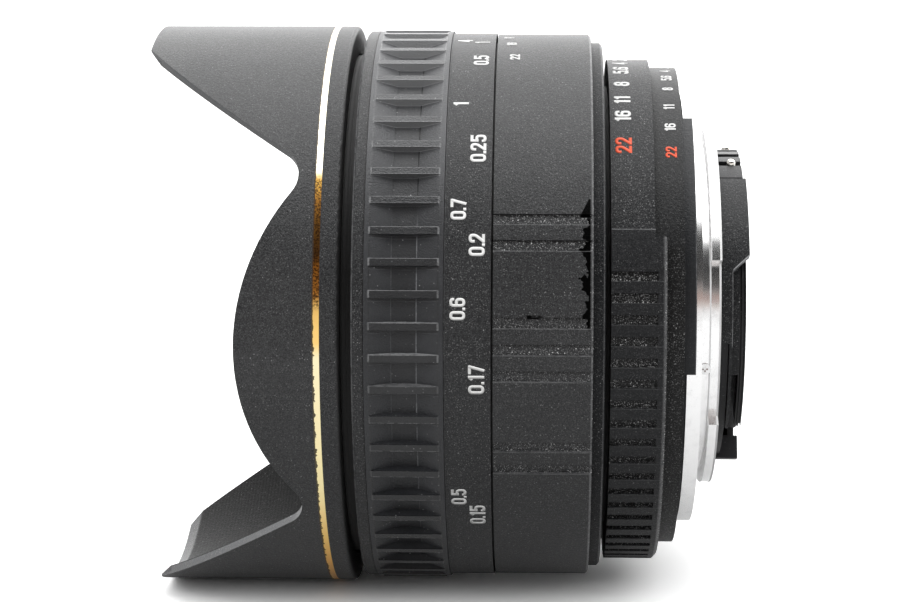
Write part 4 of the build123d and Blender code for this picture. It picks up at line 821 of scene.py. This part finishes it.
inner = {
    "ring": 0.5,   # pitch of the turned rings
    "grain": {"size": 0.25, "detail": 2.0, "span": (0.3, 0.7)},
    "tones": (0.008, 0.016),
    "roughness": 0.5, "roughGrain": 0.2,
    "ringHeight": 0.6, "grainHeight": 0.4, "depth": 0.03,
}


def innerMaterial():
    material, bench = startMaterial("innerBlack")
    ring = bench.wave(bench.x, inner["ring"])
    fine = bench.noise(inner["grain"])
    colour = bench.greys(fine.rise(*inner["grain"]["span"]), *inner["tones"])
    height = ring * inner["ringHeight"] + fine * inner["grainHeight"]
    bench.principled(Base_Color=colour, Normal=bench.bump(height, inner["depth"] * mm),
                     Roughness=fine * inner["roughGrain"] + inner["roughness"])
    return material


glass = {
    "smear": {"size": 6.0, "detail": 4.0, "span": (0.5, 0.8)},
    "smearShare": 0.96, "smearRough": 0.03,
    "index": 1.6, "coating": (0.62, 0.8, 0.7, 1.0),
}


def glassMaterial(name, tint):
    material, bench = startMaterial(name)
    smear = bench.patches(glass["smear"])
    colour = bench.mix(smear, tint, scaled(tint, glass["smearShare"]))
    bench.principled(Base_Color=colour, Roughness=smear * glass["smearRough"],
                     Transmission_Weight=1.0, IOR=glass["index"], Specular_Tint=glass["coating"])
    return material


paint = {
    "worn": {"size": 0.4, "detail": 3.0, "span": (0.68, 0.8)}, "wornShare": 0.4, "wornTone": 0.5,
    "cloud": {"size": 1.5, "detail": 2.0, "span": (0.3, 0.7)}, "cloudTone": 0.93,
    "roughness": 0.5, "roughWorn": 0.1,
}


def inkMaterial(name, tone):
    material, bench = startMaterial(name)
    worn = bench.patches(paint["worn"])
    colour = bench.mix(bench.patches(paint["cloud"]), tone, scaled(tone, paint["cloudTone"]))
    colour = bench.mix(worn * paint["wornShare"], colour, scaled(tone, paint["wornTone"]))
    bench.principled(Base_Color=colour, Roughness=worn * paint["roughWorn"] + paint["roughness"])
    return material


board = {
    "padPitch": 1.4, "pad": (0.2, 0.24),
    "green": (0.02, 0.12, 0.05, 1), "copper": (0.7, 0.6, 0.38, 1), "metal": 0.8,
    "roughness": 0.4, "padRough": 0.12,
}


def boardMaterial():
    material, bench = startMaterial("boardGreen")
    near = bench.cells(board["padPitch"] * mm)[0]
    pad = 1.0 - near.rise(*board["pad"])
    colour = bench.mix(pad, board["green"], board["copper"])
    bench.principled(Base_Color=colour, Metallic=pad * board["metal"],
                     Roughness=board["roughness"] - pad * board["padRough"])
    return material


print("stage: materials")
finishes = {
    "hood": coatMaterial("hoodCoat", hoodDetail, tone=0.021, dust=0.7, specular=0.38),
    "barrel": coatMaterial("barrelCoat", barrelDetail, dust=0.9, specular=0.34, share=0.8),
    "ring": coatMaterial("ringCoat", ringDetail, tone=0.014),
    "rearRing": coatMaterial("rearRingCoat", rearRingDetail, tone=0.007, dust=0.7, specular=0.15),
    "base": coatMaterial("baseCoat", baseDetail, tone=0.02, dust=0.6),
    "aperture": coatMaterial("apertureCoat", apertureDetail, tone=0.008, dust=1.7, share=0.7,
                             specular=0.22),
    "shroud": coatMaterial("shroudCoat", shroudDetail, tone=0.008, dust=0.8, share=0.6,
                           specular=0.22, roughness=0.42),
    "rubber": rubberMaterial(),
    "gold": goldMaterial(),
    "chrome": chromeMaterial(),
    "steel": metalMaterial("turnedSteel", (0.55, 0.55, 0.56, 1), 0.3),
    "screw": metalMaterial("screwSteel", (0.86, 0.86, 0.86, 1), 0.2, size=0.5),
    "brass": metalMaterial("turnedBrass", (0.62, 0.44, 0.2, 1), 0.32),
    "contact": metalMaterial("contactSilver", (0.88, 0.86, 0.8, 1), 0.2, size=0.6),
    "blade": metalMaterial("bladeSteel", (0.07, 0.07, 0.075, 1), 0.36),
    "plastic": plasticMaterial("blackPlastic", (0.012, 0.012, 0.013, 1), 0.42, dust=0.5,
                               depth=0.04, specular=0.28),
    "gear": plasticMaterial("paleGear", (0.62, 0.6, 0.54, 1), 0.4),
    "inner": innerMaterial(),
    "glass": glassMaterial("coatedGlass", (0.93, 0.98, 0.96, 1)),
    "board": boardMaterial(),
    "whiteInk": inkMaterial("whiteInk", (0.84, 0.84, 0.83, 1)),
    "redInk": inkMaterial("redInk", (0.78, 0.1, 0.04, 1)),
}

nodeFinishes = {
    "petal_hood": "hood", "gold_ring": "gold", "hood_base_ring": "base", "focus_ring": "ring",
    "main_barrel": "barrel", "barrel_rear_ring": "rearRing", "rubber_grip": "rubber",
    "aperture_ring": "aperture", "aperture_lock": "plastic", "mount_flange": "chrome",
    "mount_screws": "screw", "stop_screw": "screw", "rear_shroud": "shroud",
    "light_baffle": "plastic", "contact_block": "plastic", "contact_pins": "contact",
    "circuit_board": "board", "helicoid_ring": "brass", "focus_gear": "inner",
    "idler_gear": "gear", "lever_ring": "plastic", "link_bar": "steel", "lever_retainer": "steel",
    "gear_bracket": "steel", "idler_stud": "steel", "click_ball": "steel", "click_spring": "steel",
    "guide_keys": "steel", "drive_keys": "steel", "af_shaft": "steel", "af_pinion": "steel",
}


def finishNode(name, node):
    if name.startswith("iris_blade"):
        finish = "blade"
    elif name.endswith("_element"):
        finish = "glass"
    else:
        finish = nodeFinishes.get(name, "inner")
    if not node.material_slots:
        node.data.materials.append(finishes[finish])
    for slot in node.material_slots:
        slot.material = finishes[finish]


for name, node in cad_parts.items():
    finishNode(name, node)


# Inked numbers: strokes are swept along the figures' middle lines and bent round the lens

ink = {
    "thickness": 0.02 * mm,
    "lift": 0.012 * mm,
    "stroke": 0.185,     # shares of the figure's height
    "width": 0.57,
    "gap": 0.085,
    "pointGap": 0.4,     # share of the gap beside a point
    "steps": 4,          # points on a rounded corner
}

# A figure is its width and its strokes. A stroke tells whether it is closed, and goes through
# points (across, up, cut corner) of a box one wide and one high.
figures = {
    "0": (1.0, [(True, [(0, 0, 0.5), (1, 0, 0.5), (1, 1, 0.5), (0, 1, 0.5)])]),
    "1": (0.62, [(False, [(1, -0.11, 0), (1, 1.11, 0)]), (False, [(0, 0.8, 0), (0.95, 1.02, 0)])]),
    "2": (1.0, [(False, [(0, 0.66, 0), (0, 1, 0.5), (1, 1, 0.5), (1, 0.6, 0.3), (0.02, 0, 0)]),
                (False, [(-0.2, 0, 0), (1.2, 0, 0)])]),
    "4": (1.0, [(False, [(0.72, -0.11, 0), (0.72, 1.11, 0)]),
                (False, [(0.66, 1.04, 0), (-0.05, 0.28, 0)]),
                (False, [(-0.24, 0.25, 0), (1.2, 0.25, 0)])]),
    "5": (1.0, [(False, [(-0.1, 1, 0), (1.15, 1, 0)]), (False, [(0.06, 1.08, 0), (0.03, 0.5, 0)]),
                (False, [(0.03, 0.54, 0), (0.2, 0.64, 0.1), (1, 0.62, 0.45), (1, 0, 0.5),
                         (0, 0, 0.5), (0, 0.24, 0)])]),
    "6": (1.0, [(False, [(1, 0.74, 0), (1, 1, 0.5), (0, 1, 0.5), (0, 0, 0.5), (1, 0, 0.5),
                         (1, 0.58, 0.5), (0, 0.56, 0)])]),
    "7": (1.0, [(False, [(-0.2, 1, 0), (1.2, 1, 0)]),
                (False, [(1.05, 1.06, 0), (0.36, -0.11, 0)])]),
    "8": (1.0, [(True, [(0.04, 0.53, 0.4), (0.96, 0.53, 0.4), (0.96, 1, 0.5), (0.04, 1, 0.5)]),
                (True, [(0, 0, 0.5), (1, 0, 0.5), (1, 0.53, 0.4), (0, 0.53, 0.4)])]),
    ".": (0.0, [(False, [(0, -0.11, 0), (0, 0.11, 0)])]),
}


def roundedPath(points, closed, scale):
    # corners are replaced by short curves; scale gives the box in metres
    places = [Vector((across * scale[0], up * scale[1])) for across, up, cut in points]
    path = []
    for index, (place, (across, up, cut)) in enumerate(zip(places, points)):
        if not cut or (not closed and index in (0, len(points) - 1)):
            path.append(place)
            continue
        before = places[index - 1] - place
        after = places[(index + 1) % len(places)] - place
        reach = cut * scale[0]
        start = place + before.normalized() * min(reach, before.length / 2)
        end = place + after.normalized() * min(reach, after.length / 2)
        for step in range(ink["steps"] + 1):
            share = step / ink["steps"]
            rest = 1 - share
            path.append(start * rest ** 2 + place * 2 * share * rest + end * share ** 2)
    return path


def strokeProfile(width):
    profile = bpy.data.curves.new("stroke", "CURVE")
    spline = profile.splines.new("POLY")
    spline.points.add(3)
    half, deep = width / 2, ink["thickness"]
    corners = ((-half, -deep), (half, -deep), (half, deep), (-half, deep))
    for point, (side, up) in zip(spline.points, corners):
        point.co = (side, up, 0, 1)
    spline.use_cyclic_u = True
    return placed("stroke", profile)


def figureCurve(name, words, height):
    stroke = ink["stroke"] * height
    curve = bpy.data.curves.new(name, "CURVE")
    curve.dimensions = "2D"
    curve.fill_mode = "NONE"
    profile = strokeProfile(stroke)
    curve.bevel_mode = "OBJECT"
    curve.bevel_object = profile
    curve.use_fill_caps = True
    cursor = 0.0
    for index, letter in enumerate(words):
        share, strokes = figures[letter]
        gap = ink["gap"] * height
        if "." in words[index:index + 2]:   # a point stands close to its neighbours
            gap *= ink["pointGap"]
        box = (share * ink["width"] * height - (stroke if share else 0), height - stroke)
        for closed, points in strokes:
            path = roundedPath(points, closed, box)
            spline = curve.splines.new("POLY")
            spline.points.add(len(path) - 1)
            for point, place in zip(spline.points, path):
                point.co = (cursor + stroke / 2 + place.x, stroke / 2 + place.y, 0, 1)
            spline.use_cyclic_u = closed
        cursor += box[0] + stroke + gap
    holder = placed(name + "_flat", curve)
    bpy.context.view_layer.update()
    depsgraph = bpy.context.evaluated_depsgraph_get()
    mesh = bpy.data.meshes.new_from_object(holder.evaluated_get(depsgraph))
    for spare in (holder, profile):
        data = spare.data
        bpy.data.objects.remove(spare)
        bpy.data.curves.remove(data)
    return mesh


def wrapOnLens(mesh, station, angle, radius):
    # the figures' tops point to the front and the words run towards the top
    shape = bmesh.new()
    shape.from_mesh(mesh)
    for vertex in shape.verts:
        along, up, out = vertex.co
        turn = math.radians(angle) - along / radius
        reach = radius + out
        vertex.co = (station - up, -reach * math.sin(turn), reach * math.cos(turn))
    bmesh.ops.recalc_face_normals(shape, faces=shape.faces)
    shape.to_mesh(mesh)
    shape.free()


def inkText(name, words, height, station, angle, radius, body, finish="whiteInk"):
    mesh = figureCurve(name, words, height)
    middle = (max(v.co.x for v in mesh.vertices) + min(v.co.x for v in mesh.vertices)) / 2
    for vertex in mesh.vertices:
        vertex.co.x -= middle
        vertex.co.y -= height / 2
        vertex.co.z += ink["lift"]
    wrapOnLens(mesh, station, angle, radius)
    mesh.materials.clear()
    mesh.materials.append(finishes[finish])
    piece = placed(name, mesh)
    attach(piece, body)


focusScale = {
    "radius": 35.8 * mm,
    "metres": {"station": -27.25 * mm, "height": 1.95 * mm,
               "marks": [("1", 12.1), ("0.5", 22.4), ("0.25", 49.5), ("0.2", 69.9),
                         ("0.17", 95.8), ("0.15", 127.8)]},
    "feet": {"station": -29.5 * mm, "height": 1.9 * mm,
             "marks": [("4", 10.8), ("1", 38.1), ("0.7", 62.8), ("0.6", 82.2), ("0.5", 122.5)]},
}
apertureScale = {
    "large": {"radius": 32.4 * mm, "station": -9.6 * mm, "height": 2.05 * mm,
              "marks": [("2.8", 0.0), ("4", 7.0), ("5.6", 13.5), ("8", 22.0), ("11", 29.2),
                        ("16", 35.1), ("22", 44.2)]},
    "small": {"radius": 31.4 * mm, "station": -3.75 * mm, "height": 1.4 * mm,
              "marks": [("2.8", 0.0), ("4", 7.0), ("5.6", 13.7), ("8", 20.8), ("11", 29.3),
                        ("16", 36.8), ("22", 44.6)]},
}
depthScale = {
    "radius": 35.7 * mm, "height": 1.3 * mm,
    "marks": [("22", 20.5, -23.05 * mm), ("16", 12.6, -23.5 * mm), ("11", 6.8, -23.9 * mm)],
}

for row in ("metres", "feet"):
    for words, angle in focusScale[row]["marks"]:
        inkText(f"ink_{row}_{words}", words, focusScale[row]["height"], focusScale[row]["station"],
                angle, focusScale["radius"], "focus")
for row, scale in apertureScale.items():
    for words, angle in scale["marks"]:
        inkText(f"ink_stop_{row}_{words}", words, scale["height"], scale["station"], angle,
                scale["radius"], "aperture", "redInk" if words == "22" else "whiteInk")
for words, angle, station in depthScale["marks"]:
    for side, turn in (("a", angle), ("b", -angle)):
        inkText(f"ink_depth_{words}_{side}", words, depthScale["height"], station, turn,
                depthScale["radius"], "root")
print("stage: numbers inked")


# White table and a white tent with a dark opening and a warm glow on the camera's side

studio = {
    "floorDrop": 0.15 * mm,
    "floorSize": 30.0,
    # the table's tone for each kind of ray
    "table": {"shown": 1.45, "mirrored": 0.85, "thrown": 0.12, "roughness": 0.7,
              "specular": 0.2, "cloud": {"size": 150.0, "detail": 2.0, "share": 0.02}},
    "fill": {"low": 0.24, "rise": 1.08},     # diffuse light at the horizon, and added overhead
    # what the surfaces mirror: the low part, the part overhead and the one behind
    "tent": {"low": 1.0, "high": 4.6, "border": (0.6, 0.95), "back": 3.5, "behind": (0.05, 0.4)},
    "opening": {"side": (0.15, 0.45), "low": 0.28, "high": 0.81, "soft": 0.08, "dark": 0.03},
    "glow": {"low": 0.14, "high": 0.28, "soft": 0.04, "colour": (0.42, 0.27, 0.22, 1.0)},
    "lamps": [   # place, aim, size, power
        ((-1.0, -1.2, 0.9), (-0.03, 0.0, 0.0), 1.2, 12.0),
        ((0.9, -0.9, 1.2), (-0.03, 0.0, 0.02), 1.2, 10.0),
    ],
}


def addLamps():
    for index, (place, aim, size, power) in enumerate(studio["lamps"]):
        data = bpy.data.lights.new(f"lamp_{index}", "AREA")
        data.shape = "SQUARE"
        data.size = size
        data.energy = power
        lamp = placed(f"lamp_{index}", data)
        lamp.visible_glossy = False   # surfaces mirror the tent and not the lamps
        way = (Vector(aim) - Vector(place)).to_track_quat("-Z", "Y")
        lamp.matrix_world = Matrix.Translation(Vector(place)) @ way.to_matrix().to_4x4()


def addFloor():
    shape = bmesh.new()
    bmesh.ops.create_grid(shape, x_segments=2, y_segments=2, size=studio["floorSize"])
    bmesh.ops.translate(shape, vec=(0, 0, cadBox[0][2] - studio["floorDrop"]), verts=shape.verts)
    mesh = bpy.data.meshes.new("floor")
    shape.to_mesh(mesh)
    shape.free()
    material, bench = startMaterial("whiteTable")
    table = studio["table"]
    shown, glossy, through = bench.rays("Is Camera Ray", "Is Glossy Ray", "Is Transmission Ray")
    cloud = bench.noise(table["cloud"]) * table["cloud"]["share"]
    mirrored = bench.greys(cloud, table["mirrored"], 1.0)
    colour = bench.mix(glossy.most(through), grey(table["thrown"]), mirrored)
    colour = bench.mix(shown, colour, bench.greys(cloud, table["shown"], 1.0))
    bench.principled(Base_Color=colour, Roughness=table["roughness"],
                     Specular_IOR_Level=table["specular"])
    mesh.materials.append(material)
    floor = placed("floor", mesh)


def addWorld():
    world = bpy.data.worlds.new("studio")
    bpy.context.scene.world = world
    world.use_nodes = True
    bench = Bench(world.node_tree, "Generated")
    opening, glow, level = studio["opening"], studio["glow"], studio["tent"]
    front = (-bench.y).rise(*opening["side"])
    hole = front * bench.z.inside(opening["low"], opening["high"], opening["soft"])
    warm = front * bench.z.inside(glow["low"], glow["high"], glow["soft"])
    tent = bench.greys(bench.z.rise(*level["border"]), level["low"], level["high"])
    tent = bench.over(tent, bench.y.rise(*level["behind"]), level["back"])
    tent = bench.mix(warm, tent, glow["colour"])
    tent = bench.over(tent, hole, opening["dark"])
    shown, glossy, through = bench.rays("Is Camera Ray", "Is Glossy Ray", "Is Transmission Ray")
    low, rise = studio["fill"]["low"], studio["fill"]["rise"]
    fill = bench.greys(bench.z.most(0.0), low, low + rise)
    colour = bench.mix(glossy, fill, tent)
    colour = bench.mix(shown.most(through), colour, grey(1.0))
    sky = bench.raw("ShaderNodeBackground")
    bench.plug(sky.inputs["Color"], colour)
    out = bench.raw("ShaderNodeOutputWorld")
    bench.tree.links.new(sky.outputs[0], out.inputs["Surface"])


addLamps()
addFloor()
addWorld()
bpy.context.scene.view_settings.view_transform = "Standard"
print("stage: studio")
